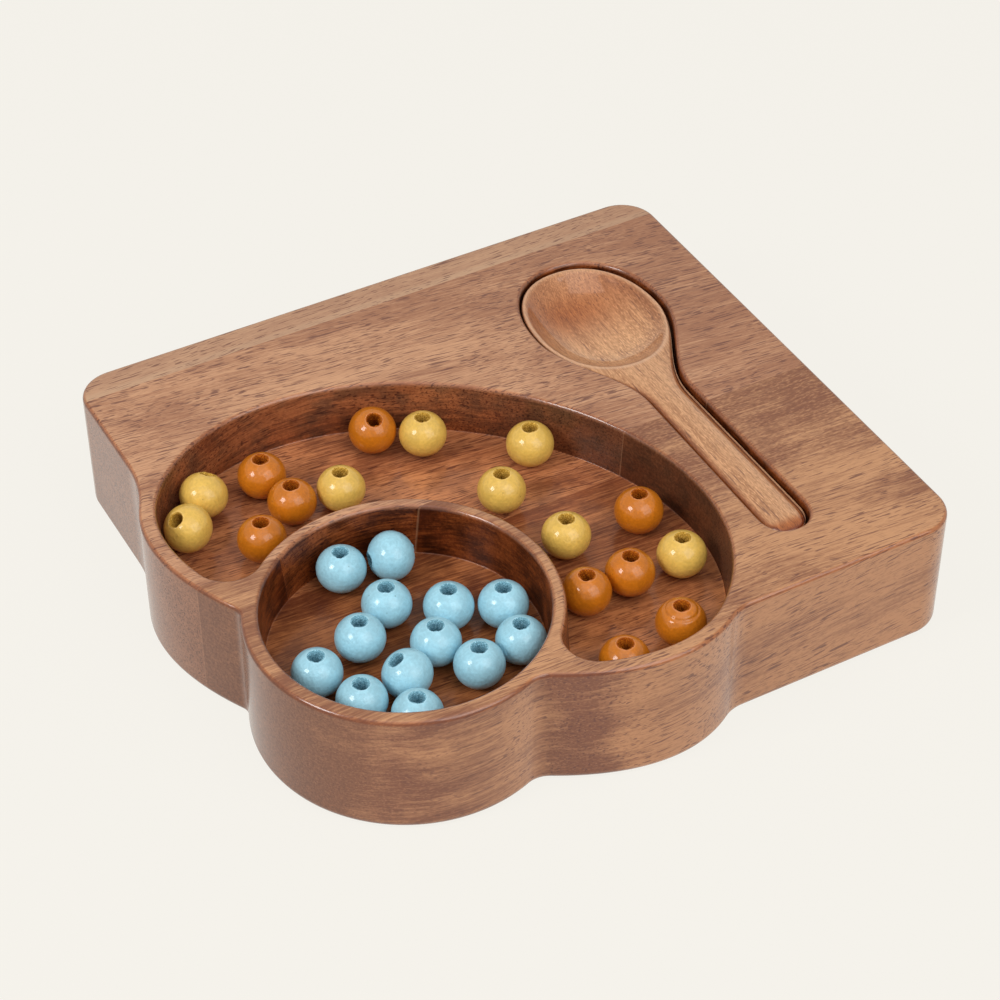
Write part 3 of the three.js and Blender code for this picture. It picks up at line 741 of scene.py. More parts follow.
class Shader(Nodes):
    """The node tree of a material or a world."""

    def __init__(self, owner):
        owner.use_nodes = True
        super().__init__(owner.node_tree)
        self.owner = owner
        self.tree.nodes.clear()

    def clamp(self, value):
        return self.out("Result", "ShaderNodeClamp", None, {"Value": value})

    def mix(self, share, first, second, blend="MIX"):
        """Mixes two colours."""
        settings = {"data_type": "RGBA", "blend_type": blend, "clamp_factor": True}
        node = self.node("ShaderNodeMix", settings, {"Factor": share, 6: first, 7: second})
        return Value(self, node.outputs[2])

    def tint(self, share, tone, filter_tone):
        """Lays a colour filter over a colour."""
        return self.mix(share, tone, filter_tone, "MULTIPLY")

    def places(self, turn=(0, 0, 0), shift=(0, 0, 0)):
        """Object coordinates in millimetres, turned and shifted."""
        here = self.out("Object", "ShaderNodeTexCoord")
        return self.out(
            "Vector", "ShaderNodeMapping", None,
            {"Vector": here, "Scale": (1 / MM, 1 / MM, 1 / MM), "Rotation": turn, "Location": shift},
        )

    def noise(self, vector, scale, detail=2.0, roughness=0.5):
        """Noise about a middle of 0.5, with one scale for all three directions or one for each."""
        if isinstance(scale, tuple):
            vector, scale = self.vectors("MULTIPLY", vector, scale), 1.0
        return self.out(
            "Fac", "ShaderNodeTexNoise", None,
            {"Vector": vector, "Scale": scale, "Detail": detail, "Roughness": roughness},
        )

    def attribute(self, name):
        return self.out("Fac", "ShaderNodeAttribute", {"attribute_name": name})

    def facing(self, axis):
        """How far a surface faces along one of the object's own axes."""
        return self.part(axis, self.out("Normal", "ShaderNodeTexCoord"))

    def bump(self, height, strength, distance):
        return self.out(
            "Normal", "ShaderNodeBump", None, {"Height": height, "Strength": strength, "Distance": distance},
        )

    def surface(self, sockets):
        """Ends the tree with one glossy surface."""
        body = self.out("BSDF", "ShaderNodeBsdfPrincipled", None, sockets)
        self.node("ShaderNodeOutputMaterial", None, {"Surface": body})
        return self.owner


def rgba(rgb, strength=1.0):
    return tuple(strength * part for part in rgb) + (1.0,)


# Noise scales per millimetre: along the grain, across it and through the board
WANDER = (0.012, 0.03, 0.03)
BANDS_ALONG = 0.006
FIGURE = (0.04, 0.06, 0.06)
TOP_STREAKS = (0.05, 1.5, 0.8)
SIDE_STREAKS = (0.05, 0.2, 1.0)
SPECKLES = (0.6, 1.9, 1.9)
CROWDS = (0.02, 0.16, 0.16)
DASHES = (0.12, 2.1, 2.1)
FLECKS = (0.22, 2.8, 2.8)
GLINTS = (0.55, 2.4, 2.4)
CORNER_WAVES = (0.03, 0.3, 0.3)


def bent_grain(shader, grain, sway):
    """Grain coordinates that wander sideways along the board."""
    slow = shader.vectors("MULTIPLY", grain, WANDER)
    wander = shader.out("Color", "ShaderNodeTexNoise", None, {"Vector": slow, "Scale": 1.0, "Detail": 2.0})
    centred = shader.vectors("SUBTRACT", wander, (0.5, 0.5, 0.5))
    return shader.vectors("ADD", grain, shader.vectors("MULTIPLY", centred, (0.0, sway, sway)))


def wood_grain(shader, grain, pale, deep, scarcity, mottle, lift=0.0, plain=0.0, level=1.0, layers=0.08):
    """Colour, pores and fine streaks of a plank whose grain runs along X.

    Lift makes the plank paler, plain takes the streaks out where the grain is cut across. The streaks
    lie in layers that run out on the top, where level is 1, and level along the sides.
    """
    bands = shader.noise(grain, (BANDS_ALONG, layers, layers))
    figure = shader.noise(grain, FIGURE, 3.0)
    top = shader.noise(grain, TOP_STREAKS, 4.0, 0.66)
    side = shader.noise(grain, SIDE_STREAKS, 4.0, 0.7)
    streaks = side + (top - side) * level
    speckles = shader.noise(grain, SPECKLES)
    light = shader.step(bands * 0.32 + figure * 0.2 + streaks * 0.4 + 0.04 + lift, 0.4, 0.6)
    light = light + (0.5 - light) * plain
    plank = shader.mix(light, rgba(deep), rgba(pale))
    plank = shader.mix(shader.step(speckles, 0.5, 0.7) * mottle, plank, rgba(pale, 1.1))
    plank = shader.mix((1 - shader.step(speckles, 0.32, 0.5)) * mottle, plank, rgba(deep, 0.7))
    limit = scarcity - 0.24 * shader.noise(grain, CROWDS)
    dash = shader.clamp((shader.noise(grain, DASHES, 0.0) - limit) * 12.0)
    fleck = shader.clamp((shader.noise(grain, FLECKS, 0.0) - limit - 0.03) * 10.0)
    holes = shader.clamp(dash * 0.85 + fleck * 0.5)
    return plank, holes, streaks


# The staves' wood. A fade is a pair of places, in millimetres, at which it starts and is full.
GRAIN_TILT = math.radians(5)
STAVE_SWAY = 7.0
CORNER_FADE = 25
CORNER_EDGE = 8
SIDE_FADE = 30
DEEP_FADE = 70
CURL = (5, 45)
SUNK = (-10, 25)
STAIN = (3, 19)
SAP = (1.6, 3.6)
RIGHT_WALL = (-5, 50)
RIGHT_WALL_END = (49, 53)
SEAM_LINE = (0.05, 0.25)
SEAM_SHOWN = (-52, -48)
# Painted shade on the upright outer faces
SIDE_TINT = (0.9, 0.82, 0.77, 1)
END_GRAIN_TINT = (0.66, 0.61, 0.6, 1)
WORN_TINT = (0.7, 0.44, 0.24, 1)
GRIT_TINTS = (0.74, 0.7, 0.68, 1), (1.16, 1.16, 1.16, 1)
# Colours laid over the pockets' walls and floors: partly darker oiled wood, partly painted shade
WALL_TINTS = (0.2, 0.095, 0.048, 1), (0.6, 0.3, 0.135, 1)
# Painted shade on the pockets' walls towards the right
RIGHT_WALL_TINT = (0.34, 0.32, 0.4, 1)
FLOOR_TINTS = (0.58, 0.38, 0.27, 1), (0.95, 0.67, 0.46, 1)
# Deeper painted shade in the bowl and the spoon's recess
DEEP_TINT = (0.3, 0.22, 0.2, 1)


def stave_material(
    name, pale, deep, pore, scarcity, mottle, turn, shift, seam_at,
    sapwood=None, pale_corner=None, deep_from=None, stain=None,
):
    """Oiled wood of one stave: darker inside the pockets, partly its own darker oiled wood and partly
    painted shade, with painted shade on the upright outer faces, richer along the edges.
    """
    shader = Shader(bpy.data.materials.new(name))
    here = shader.places()
    along, across = shader.part("X", here), shader.part("Y", here)
    facing_z = shader.facing("Z")
    end_grain = shader.step(shader.math("ABSOLUTE", shader.facing("X")), 0.5, 0.95)
    level = shader.step(facing_z, 0.5, 0.9)
    hollow = shader.attribute("hollow")
    outside = 1 - shader.clamp(hollow)
    sides = (1 - level) * outside
    seam_at = seam_at / MM
    lift, clear = 0.0, 1.0
    if pale_corner is not None:
        corner_x, corner_y = pale_corner
        edge = across + shader.noise(here, CORNER_WAVES, 3.0) * 20.0 - 10.0
        corner = shader.step(along, corner_x - CORNER_FADE, corner_x + CORNER_FADE)
        corner = corner * (1 - shader.step(edge, corner_y - CORNER_EDGE, corner_y + CORNER_EDGE))
        curl = shader.step(along, *CURL) * (1 - corner) * outside
        sunk = shader.step(along, *SUNK) * (1 - outside) * level
        past_corner = shader.step(along, corner_x, corner_x + SIDE_FADE)
        lift = corner * 0.07 - curl * 0.03 + sunk * 0.03 - 0.025 + (past_corner * 0.055 - 0.035) * sides
        clear = 0.45 + corner * 0.55
        mottle = mottle * (0.4 + curl + sides * 0.4)
    if stain is not None:
        aside, ahead = along - stain[0], across - stain[1]
        apart = shader.math("SQRT", aside * aside + ahead * ahead)
        lift = lift - (1 - shader.step(apart, *STAIN)) * (1 - level) * 0.15
    if deep_from is not None:
        lift = 0.012 - shader.step(along, deep_from, deep_from + DEEP_FADE) * 0.055
    grain = bent_grain(shader, shader.places((0, GRAIN_TILT, math.radians(turn)), shift), STAVE_SWAY)
    plain = end_grain * 0.65
    plank, holes, streaks = wood_grain(shader, grain, pale, deep, scarcity, mottle, lift, plain, level)
    holes = holes * clear * (1 - plain * 0.15)
    if sapwood is not None:
        edge = across + (streaks - 0.5) * 3.0 - seam_at
        plank = shader.mix((1 - shader.step(edge, *SAP)) * 0.4, plank, rgba(sapwood))
    plank = shader.mix(holes * 0.85, plank, rgba(pore))
    # Painted shade: upright outer faces darker than the top
    plank = shader.tint(sides, plank, SIDE_TINT)
    plank = shader.tint(end_grain * sides, plank, END_GRAIN_TINT)
    worn = shader.step(facing_z, 0.12, 0.4) * (1 - shader.step(facing_z, 0.82, 0.985)) * outside
    plank = shader.tint(worn * 0.8, plank, WORN_TINT)
    grit = shader.mix(shader.step(shader.noise(here, 1.1, 4.0, 0.65), 0.34, 0.66), *GRIT_TINTS)
    gritty = shader.clamp(plain * 1.2 + (1 - level) * (1 - outside) * 0.8)
    plank = shader.tint(gritty, plank, grit)
    streaked = shader.step(streaks * 0.4 + shader.noise(here, 0.13, 3.0) * 0.6, 0.38, 0.6)
    # Painted shade on the pockets' walls towards the right
    right = shader.step(along, *RIGHT_WALL) * (1 - shader.step(along, *RIGHT_WALL_END))
    wall = shader.tint(right, shader.mix(streaked, *WALL_TINTS), RIGHT_WALL_TINT)
    floor = shader.mix(streaked, *FLOOR_TINTS)
    # Pockets' walls and floors, partly their darker oiled wood and partly painted shade
    plank = shader.tint(hollow, plank, shader.mix(level, wall, floor))
    # Deeper painted shade where the mark passes 1, in the bowl and the spoon's recess
    plank = shader.tint(hollow - 1, plank, DEEP_TINT)
    seam = (1 - shader.step(shader.math("ABSOLUTE", across - seam_at), *SEAM_LINE)) * (1 - level)
    shown = shader.step(along, *SEAM_SHOWN) * 0.25
    plank = shader.mix(seam * (shown + (0.18 - shown) * outside), plank, rgba(pale, 0.9))
    return shader.surface({
        "Base Color": plank,
        "Roughness": 0.4 + streaks * 0.14 + holes * 0.2,
        "Specular IOR Level": 0.05,
        "Coat Weight": shader.clamp(0.4 + outside * 0.15 + sides * 0.35 + worn * 0.3),
        "Coat Roughness": 0.17,
        "Normal": shader.bump(streaks * 0.25 - holes, 0.3, 0.1 * MM),
    })


SPOON_SWAY = 3.0
SPOON_LAYERS = 0.3
SPOON_SHIFT = (3, 7, 5)
# Painted shade over the hollow's far part, which also darkens the handle's worn end
OIL_TINT = (0.66, 0.4, 0.22, 1)
# Painted light on the hollow's near part
RUB_TINT = (1.2, 1.26, 1.26, 1)
EDGE_TINT = (0.52, 0.3, 0.16, 1)
# Painted shade along the spoon's sides below the tray's top, in the gap
GAP_TINT = (0.5, 0.36, 0.27, 1)


def spoon_material(name, pale, deep, pore):
    """Lighter oiled wood with fine flecks along the spoon, a pale rim that is partly worn and partly a
    painted highlight, painted shade and painted light in the hollow, and painted shade along the sides in
    the gap.
    """
    shader = Shader(bpy.data.materials.new(name))
    grain = bent_grain(shader, shader.places((0, 0, -QUARTER_TURN), SPOON_SHIFT), SPOON_SWAY)
    plank, holes, streaks = wood_grain(shader, grain, pale, deep, 0.83, 0.25, layers=SPOON_LAYERS)
    glints = shader.noise(grain, GLINTS, 1.0)
    plank = shader.mix(0.25, plank, rgba([(a + b) / 2 for a, b in zip(pale, deep)]))
    plank = shader.mix(shader.step(glints, 0.52, 0.68) * 0.7, plank, rgba(pale, 1.12))
    plank = shader.mix((1 - shader.step(glints, 0.3, 0.45)) * 0.45, plank, rgba(deep, 0.75))
    plank = shader.mix(holes * 0.7, plank, rgba(pore))
    # Painted shade over the hollow's far part, and the handle's darker worn end
    plank = shader.tint(shader.attribute("oil"), plank, OIL_TINT)
    # Painted light on the hollow's near part
    plank = shader.tint(shader.attribute("rub"), plank, RUB_TINT)
    facing_z = shader.facing("Z")
    handle_edge = (1 - shader.step(facing_z, 0.86, 0.992)) * shader.attribute("handle")
    edge = shader.math("MAXIMUM", handle_edge, 1 - shader.step(facing_z, 0.5, 0.9))
    plank = shader.tint(edge, plank, EDGE_TINT)
    # Painted shade along the spoon's sides below the tray's top, in the gap
    plank = shader.tint(shader.attribute("gap"), plank, GAP_TINT)
    # Pale rim round the hollow, partly wear and partly a painted highlight
    plank = shader.mix(shader.attribute("rim") * 0.55, plank, rgba([0.1 + part * 0.95 for part in pale]))
    return shader.surface({
        "Base Color": plank,
        "Roughness": 0.24 + streaks * 0.12 + holes * 0.2,
        "Specular IOR Level": 0.1,
        "Coat Weight": 0.8,
        "Coat Roughness": 0.1,
        "Normal": shader.bump(streaks * 0.25 - holes + glints * 1.5, 0.25, 0.12 * MM),
    })


# Noise scales of the paint, per millimetre
MOTTLE, DENTS, SPECKLE, FIBRE, SPECKS = 0.3, 1.1, 2.4, 3.5, 0.22


def paint_material(name, tone):
    """Glossy paint on wood: mottled, with a few specks, and with bare fibres inside the hole."""
    shader = Shader(bpy.data.materials.new(name))
    here = shader.places()
    mottle = shader.noise(here, MOTTLE, 3.0)
    dents, speckle, fibre = (shader.noise(here, scale) for scale in (DENTS, SPECKLE, FIBRE))
    bore = shader.attribute("bore")
    patchy = mottle * 0.5 + dents * 0.5
    paint = shader.mix(shader.step(patchy, 0.38, 0.64), rgba(tone, 0.9), rgba(tone, 1.05))
    paint = shader.mix(shader.step(speckle, 0.62, 0.75) * 0.2, paint, rgba(tone, 0.75))
    apart = shader.out("Distance", "ShaderNodeTexVoronoi", None, {"Vector": here, "Scale": SPECKS})
    paint = shader.mix((1 - shader.step(apart, 0.03, 0.075)) * 0.6, paint, rgba(tone, 0.4))
    ring = shader.step(bore, 0.02, 0.3) * (1 - shader.step(bore, 0.45, 0.75))
    paint = shader.mix(ring * (0.25 + speckle * 0.5), paint, rgba([0.12 + part * 0.95 for part in tone]))
    dark = rgba([part ** 1.5 for part in tone], 0.6)
    bare = shader.mix(shader.step(fibre, 0.42, 0.68), dark, rgba(tone, 1.1))
    paint = shader.mix(shader.step(bore, 0.4, 0.8), paint, bare)
    height = mottle * 1.3 + dents * 1.7 + speckle * 0.5 + fibre * bore * 3.0
    return shader.surface({
        "Base Color": paint,
        "Roughness": 0.3 + speckle * 0.1 + bore * 0.5,
        "Specular IOR Level": 0.12,
        "Coat Weight": 0.55 * (1 - bore),
        "Coat Roughness": 0.1,
        "Normal": shader.bump(height, 0.5, 0.2 * MM),
    })


# Operators

class BEADTRAY_OT_tray(bpy.types.Operator):
    """Cut the tray's three staves, with their pockets"""

    bl_idname = "beadtray.tray"
    bl_label = "Tray Staves"

    # How dark each pocket is painted, partly darker oiled wood and partly painted shade; above 1 a deeper
    # painted shade is added
    BOWL_SHADE = 1.34
    CRESCENT_SHADE = 0.9
    RECESS_SHADE = 1.3
    FADE = 1.15
    PAST_RIM = 1.02

    def execute(self, context):
        settings = context.scene.bead_tray
        tray, spoon, wood = settings.tray, settings.spoon, settings.wood
        plan = Plan(tray, spoon)
        bowl, crescent, recess = plan.bowl_mouth(), plan.crescent_mouth(), plan.recess_mouth()
        rim, fillet = tray.rim_radius, tray.floor_fillet
        hollows = (
            (bowl, rim, self.BOWL_SHADE),
            (crescent, rim, self.CRESCENT_SHADE),
            (recess, spoon.recess_rim, self.RECESS_SHADE),
        )
        block = mesh_of(
            "block", rounded_block(plan.outline(), tray.bottom_edge_radius, tray.top_edge_radius),
        )
        cutters = [pocket(m, tray.pocket_depth, tray.pocket_taper, rim, fillet) for m in (bowl, crescent)]
        cutters.append(pocket(recess, spoon.recess_depth, 0, spoon.recess_rim, fillet))
        pockets = added("pockets", mesh_of("pockets", *cutters))
        tree = stave_tree()
        reach = 2 * BACK_SIDE
        staves = (
            ("tray_stave_front", -reach, FRONT_HIGH.y, "stave_front", dict(
                pale=wood.front_pale, deep=wood.front_deep, scarcity=0.765, mottle=0.3, turn=2,
                shift=(0, 40, 11), seam_at=FRONT_HIGH.y, pale_corner=(-60, -45), stain=(-24, -88))),
            ("tray_stave_middle", MIDDLE_LOW.y, MIDDLE_HIGH.y, "stave_middle", dict(
                pale=wood.middle_pale, deep=wood.middle_deep, scarcity=0.735, mottle=0.12, turn=6,
                shift=(31, 0, -20), seam_at=MIDDLE_LOW.y, deep_from=-5)),
            ("tray_stave_rear", REAR_LOW.y, reach, "stave_rear", dict(
                pale=wood.rear_pale, deep=wood.rear_deep, scarcity=0.77, mottle=0.15, turn=0,
                shift=(80, -60, 35), seam_at=REAR_LOW.y, sapwood=wood.sapwood)),
        )
        for node, start, end, slot, look in staves:
            material = stave_material(f"{slot} wood", pore=wood.pore, **look)
            stave = added(f"{node}_wood", block.copy())
            values = {"Pockets": pockets, "From": start, "To": end, "Material": material}
            apply_tree(stave, tree, values)
            weighted = stave.modifiers.new("Even Shading", "WEIGHTED_NORMAL")
            weighted.keep_sharp = True
            settle(stave)
            self.mark_hollows(stave.data, hollows)
            finished(stave, "tray", node)
        bpy.data.objects.remove(pockets)
        return {"FINISHED"}

    def mark_hollows(self, mesh, hollows):
        """Marks how dark the insides of the pockets are, partly their darker oiled wood and partly painted
        shade, fading out over their rims.
        """
        points = points_of(mesh)
        marks = np.zeros(len(points))
        for mouth, rim, shade in hollows:
            within = inside(points[:, :2], grow(mouth, self.PAST_RIM * rim))
            marks[within] = shade * np.clip((TRAY_TOP - points[within, 2]) / (self.FADE * rim), 0, 1)
        store(mesh, "hollow", marks)


class BEADTRAY_OT_spoon(bpy.types.Operator):
    """Shape the spoon that lies in the recess"""

    bl_idname = "beadtray.spoon"
    bl_label = "Spoon"

    RING_SHARES = np.linspace(0, 1, 46)
    WELD_DISTANCE = 0.01 * MM
    SOFTNESS = 0.5 * MM
    CROWN_POWER = 2.2
    NEAR_POWER = 2.0
    # Place and size of the painted shade over the hollow's far part
    OIL_PLACE, OIL_SIZE = (-0.08, 0.5), (0.6, 0.4)
    # Place and size of the painted light on the hollow's near part
    RUB_PLACE, RUB_SIZE = (0.1, -0.45), (0.42, 0.55)
    HELD_FROM = 0.3
    HELD_FADE = 0.4
    # Where the painted shade along the sides, in the gap, starts below the top and how fast it grows
    GAP_FROM = 1.4 * MM
    GAP_FADE = 1.2 * MM
    # The pale rim, partly wear and partly a painted highlight
    RIM_PLACE = 1.03
    RIM_SPREAD = 0.028

    def execute(self, context):
        settings = context.scene.bead_tray
        spoon = settings.spoon
        outline = spoon_outline(spoon)
        lowest = -spoon.taper - spoon.handle_length + spoon.end_reach
        spine = np.column_stack((np.zeros(len(outline)), np.clip(outline[:, 1], lowest, 0)))
        middle = spoon_middle(spoon)
        thickness = SPOON_HIGH.z - SPOON_LOW.z
        side = thickness - spoon.edge_radius
        rings = []
        for share in self.RING_SHARES:
            points = spine + (outline - spine) * share
            inset = np.linalg.norm(outline - points, axis=1)
            rings.append((points, self.under(spoon, points, inset, side)))
        for turn in np.linspace(0, QUARTER_TURN, EDGE_STEPS + 1)[1:]:
            points = grow(outline, -spoon.edge_radius * (1 - math.cos(turn)))
            rings.append((points, side + spoon.edge_radius * math.sin(turn) - self.fall(spoon, points)))
        inner = rings[-1][0]
        for share in self.RING_SHARES[-2::-1]:
            points = spine + (inner - spine) * share
            rings.append((points, thickness - self.fall(spoon, points)))
        placed = [(points + middle, SPOON_LOW.z + z) for points, z in rings]
        piece = added("spoon_wood", mesh_of("spoon_wood", skin(placed, closed=False)))
        weld = piece.modifiers.new("Close Spine", "WELD")
        weld.merge_threshold = self.WELD_DISTANCE
        settle(piece)
        piece.data.shade_smooth()
        self.mark_wear(piece.data, spoon, middle)
        wood = settings.wood
        material = spoon_material("spoon wood", wood.spoon_pale, wood.spoon_deep, wood.pore)
        piece.data.materials.append(material)
        finished(piece, "spoon", "spoon")
        return {"FINISHED"}

    @staticmethod
    def eased(share):
        """A smooth rise from 0 to 1."""
        share = np.clip(share, 0, 1)
        return share * share * (3 - 2 * share)

    def bowl_share(self, spoon, points):
        """1 in the spoon's bowl, 0 along its handle."""
        return self.eased((points[:, 1] + spoon.taper) / spoon.taper)

    @staticmethod
    def end_share(spoon, points):
        """0 where the handle's rounded end begins, 1 at its tip."""
        return 1 - (points[:, 1] + spoon.taper + spoon.handle_length) / spoon.end_reach

    def under(self, spoon, points, inset, side):
        """Height of the underside, which rounds up towards the edge."""
        belly = spoon.handle_belly + (spoon.belly - spoon.handle_belly) * self.bowl_share(spoon, points)
        return side * np.arcsin(np.clip(1 - inset / belly, 0, 1)) / QUARTER_TURN

    @staticmethod
    def half_widths(spoon):
        """Places along the spoon, rising, and its half width there."""
        outline = spoon_outline(spoon)
        right = outline[outline[:, 0] > 0]
        order = np.argsort(right[:, 1])
        return right[order, 1], right[order, 0]

    def hollow_reach(self, spoon, points):
        """0 in the middle of the hollow, 1 along its edge."""
        half = spoon.bowl_width / 2 - spoon.rim
        along = np.where(points[:, 1] > 0, spoon.tip - spoon.rim, spoon.hollow_near)
        power = np.where(points[:, 1] > 0, spoon.tip_power, self.NEAR_POWER)
        return (np.abs(points[:, 0] / half) ** power + np.abs(points[:, 1] / along) ** power) ** (1 / power)

    def mark_wear(self, mesh, spoon, middle):
        """Marks the hollow's rim, partly worn and partly a painted highlight, a painted shade over the
        hollow's far part together with the handle's darker worn end, a painted light on the hollow's near
        part, the handle, and a painted shade along the sides in the gap.
        """
        points = points_of(mesh)
        places = points[:, :2] - middle
        top = points[:, 2] > SPOON_HIGH.z - spoon.hollow_depth
        reach = self.hollow_reach(spoon, places)

        def patch(place, size, unit):
            apart = (places - np.multiply(place, unit)) / np.multiply(size, unit)
            return np.exp(-(apart ** 2).sum(axis=1))

        # Pale rim, partly wear and partly a painted highlight
        store(mesh, "rim", np.exp(-((reach - self.RIM_PLACE) / self.RIM_SPREAD) ** 2) * top)
        # Painted shade over the hollow's far part, joined below with the handle's darker worn end
        oiled = patch(self.OIL_PLACE, self.OIL_SIZE, (spoon.bowl_width, spoon.tip))
        held = self.eased((self.end_share(spoon, places) - self.HELD_FROM) / self.HELD_FADE)
        store(mesh, "oil", np.maximum(oiled, held))
        # Painted light on the hollow's near part
        rubbed = patch(self.RUB_PLACE, self.RUB_SIZE, (spoon.bowl_width, spoon.hollow_near))
        store(mesh, "rub", rubbed * (reach < 1))
        store(mesh, "handle", 1 - self.bowl_share(spoon, places))
        # Painted shade along the sides below the tray's top, in the gap
        below = SPOON_HIGH.z - self.GAP_FROM - points[:, 2]
        store(mesh, "gap", np.clip(below / self.GAP_FADE, 0, 1) * (reach > 1))

    def fall(self, spoon, points):
        """How far the top lies below its highest level: the hollow, and the handle's round sides."""
        depth = spoon.hollow_depth * (1 - self.hollow_reach(spoon, points) ** spoon.hollow_power)
        hollow = (depth + np.sqrt(depth * depth + self.SOFTNESS ** 2)) / 2
        handle = 1 - self.bowl_share(spoon, points)
        aside = np.abs(points[:, 0]) / np.interp(points[:, 1], *self.half_widths(spoon))
        edge = np.maximum(aside, np.clip(self.end_share(spoon, points), 0, 1))
        crown = 1 - np.sqrt(np.maximum(1 - np.clip(edge, 0, 1) ** self.CROWN_POWER, 0))
        return hollow + spoon.handle_crown * handle * crown


class BEADTRAY_OT_beads(bpy.types.Operator):
    """Turn the beads and lay them where the frame has them"""

    bl_idname = "beadtray.beads"
    bl_label = "Beads"

    COLOURS = ("blue", "orange", "yellow")
    GROOVED = "orange_bead_08"
    SEED_STEP = 7
    PROFILE_STEPS = 48
    BORE_STEPS = 10
    LIP_DROP = 0.6

    def execute(self, context):
        settings = context.scene.bead_tray
        size = settings.bead
        tree = bead_tree()
        profile = self.profile(size)
        for colour_name in self.COLOURS:
            material = paint_material(f"{colour_name} paint", getattr(settings.paint, colour_name))
            names = sorted(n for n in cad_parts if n.startswith(f"{colour_name}_bead"))
            for index, node in enumerate(names):
                low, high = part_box(node)
                bead = added(f"{node}_painted", profile.copy())
                apply_tree(bead, tree, {
                    "Bore Radius": size.bore / 2,
                    "Bead Radius": size.diameter / 2,
                    "Lip": size.lip,
                    "Fray": size.fray,
                    "Wobble": size.wobble,
                    "Groove": size.groove if node == self.GROOVED else 0.0,
                    "Seed": float(self.SEED_STEP * index + len(colour_name)),
                    "Axis": self.bore_axis(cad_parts[node]),
                    "Place": (low + high) / 2,
                    "Material": material,
                })
                finished(settle(bead), node, node)
        return {"FINISHED"}

    def profile(self, size):
        """Half of a bead's section, as a closed line that starts at the bore's wall."""
        radius, bore, lip = size.diameter / 2, size.bore / 2, size.lip
        pole = size.height / 2 / math.sqrt(1 - (bore / radius) ** 2)
        last = math.acos((bore + lip) / radius)
        turns = np.linspace(-last, last, self.PROFILE_STEPS + 1)
        outside = np.column_stack((radius * np.cos(turns) - bore, pole * np.sin(turns)))
        height = outside[-1, 1] - lip * self.LIP_DROP
        down = np.linspace(height, -height, self.BORE_STEPS + 1)
        wall = np.column_stack((np.zeros(len(down)), down))
        points = np.vstack((outside, wall))
        mesh = bpy.data.meshes.new("bead profile")
        count = len(points)
        mesh.from_pydata(
            [(x, y, 0) for x, y in points], [(i, (i + 1) % count) for i in range(count)], [],
        )
        return mesh

    @staticmethod
    def bore_axis(node):
        """The way that a bead's bore points, upwards: the solid's points spread furthest along it."""
        points = points_of(node.data)
        spread = np.cov((points - points.mean(axis=0)).T)
        axis = Vector(np.linalg.eigh(spread)[1][:, -1])
        return axis if axis.z >= 0 else -axis


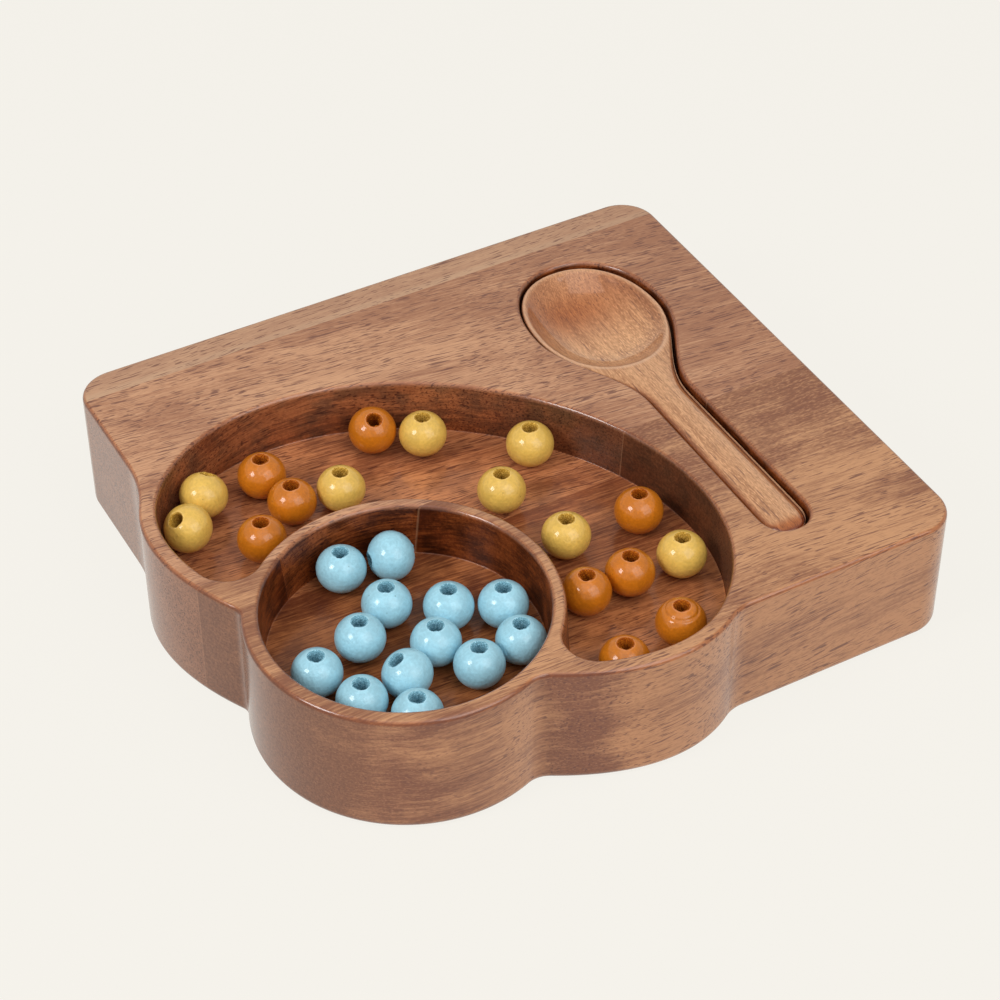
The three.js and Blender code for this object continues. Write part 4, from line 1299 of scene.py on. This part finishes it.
class BEADTRAY_OT_stage(bpy.types.Operator):
    """Set up the floor, the lamps, the room and the camera"""

    bl_idname = "beadtray.stage"
    bl_label = "Photo Stage"

    FLOOR_REACH = 6.0
    FLOOR_LEVEL = -0.05 * MM
    FLOOR_SHADE = 0.85
    SHADOW_SHARE = 0.05
    LAMP_DISTANCE = 1.2
    LAMPS = {
        "softbox": ((0.2, -0.714, 0.67), 0.85),
        "spot": ((-0.747, -0.049, 0.652), 0.36),
        "overhead": ((-0.1, -0.35, 1), 1.0),
    }

    def execute(self, context):
        stage = context.scene.bead_tray.stage
        self.floor(stage)
        self.room(context.scene, stage)
        for name, (toward, size) in self.LAMPS.items():
            self.lamp(name, toward, size, getattr(stage, name))
        self.camera(context.scene, stage)
        context.scene.view_settings.view_transform = "Standard"
        return {"FINISHED"}

    @staticmethod
    def seen(shader):
        """1 for what is seen directly, in a reflection or through glass."""
        kinds = ("Camera", "Glossy", "Transmission")
        camera, glossy, through = (shader.out(f"Is {kind} Ray", "ShaderNodeLightPath") for kind in kinds)
        return shader.clamp(camera + glossy + through)

    def floor(self, stage):
        reach, square = self.FLOOR_REACH, ((-1, -1), (1, -1), (1, 1), (-1, 1))
        corners = [(x * reach, y * reach, self.FLOOR_LEVEL) for x, y in square]
        mesh = bpy.data.meshes.new("floor")
        mesh.from_pydata(corners, [], [(0, 1, 2, 3)])
        floor = added("floor", mesh)
        shader = Shader(bpy.data.materials.new("floor paper"))
        tone = rgba(stage.backdrop, self.FLOOR_SHADE)
        lit = shader.out("BSDF", "ShaderNodeBsdfDiffuse", None, {"Color": tone})
        plain = shader.out("Emission", "ShaderNodeEmission", None, {"Color": rgba(stage.backdrop)})
        share = self.seen(shader) * (1 - self.SHADOW_SHARE)
        both = shader.out("Shader", "ShaderNodeMixShader", None, {0: share, 1: lit, 2: plain})
        shader.node("ShaderNodeOutputMaterial", None, {"Surface": both})
        mesh.materials.append(shader.owner)

    def room(self, scene, stage):
        scene.world = bpy.data.worlds.new("white room")
        shader = Shader(scene.world)
        strength = stage.ambient + self.seen(shader) * (1 - stage.ambient)
        sockets = {"Color": rgba(stage.backdrop), "Strength": strength}
        back = shader.out("Background", "ShaderNodeBackground", None, sockets)
        shader.node("ShaderNodeOutputWorld", None, {"Surface": back})

    def lamp(self, name, toward, size, watts):
        light = bpy.data.lights.new(name, "AREA")
        light.size = size
        light.energy = watts
        lamp = added(name, light)
        lamp.location = Vector(toward).normalized() * self.LAMP_DISTANCE
        lamp.rotation_euler = lamp.location.to_track_quat("Z", "Y").to_euler()

    def camera(self, scene, stage):
        back = Vector((
            math.sin(stage.azimuth) * math.cos(stage.elevation),
            -math.cos(stage.azimuth) * math.cos(stage.elevation),
            math.sin(stage.elevation),
        ))
        right = Vector((math.cos(stage.azimuth), math.sin(stage.azimuth), 0))
        level = Matrix((right, back.cross(right), back)).transposed()
        turned = level @ Matrix.Rotation(-stage.roll, 3, "Z")
        data = bpy.data.cameras.new("camera")
        data.lens = stage.focal_length
        camera = added("camera", data)
        target = Vector((stage.target_x, stage.target_y, 0))
        camera.matrix_world = Matrix.Translation(target + back * stage.distance) @ turned.to_4x4()
        scene.camera = camera


class BEADTRAY_PT_panel(bpy.types.Panel):
    """Sizes, colours and buttons of the bead tray"""

    bl_idname = "BEADTRAY_PT_panel"
    bl_label = "Bead Sorting Tray"
    bl_space_type = "VIEW_3D"
    bl_region_type = "UI"
    bl_category = "Bead Tray"

    def draw(self, context):
        settings = context.scene.bead_tray
        for operator in OPERATORS:
            self.layout.operator(operator.bl_idname)
        for group in ("tray", "spoon", "bead", "wood", "paint", "stage"):
            box = self.layout.box()
            box.label(text=group.title())
            values = getattr(settings, group)
            for name in values.__annotations__:
                box.prop(values, name)


GROUPS = (TraySizes, SpoonSizes, BeadSizes, WoodLook, PaintLook, StageLook, BeadTraySettings)
OPERATORS = (BEADTRAY_OT_tray, BEADTRAY_OT_spoon, BEADTRAY_OT_beads, BEADTRAY_OT_stage)
CLASSES = GROUPS + OPERATORS + (BEADTRAY_PT_panel,)


def register():
    for one in CLASSES:
        bpy.utils.register_class(one)
    bpy.types.Scene.bead_tray = PointerProperty(type=BeadTraySettings)


def unregister():
    del bpy.types.Scene.bead_tray
    for one in reversed(CLASSES):
        bpy.utils.unregister_class(one)


def main():
    register()
    bpy.ops.beadtray.tray()
    bpy.ops.beadtray.spoon()
    bpy.ops.beadtray.beads()
    bpy.ops.beadtray.stage()


if __name__ == "__main__":
    main()
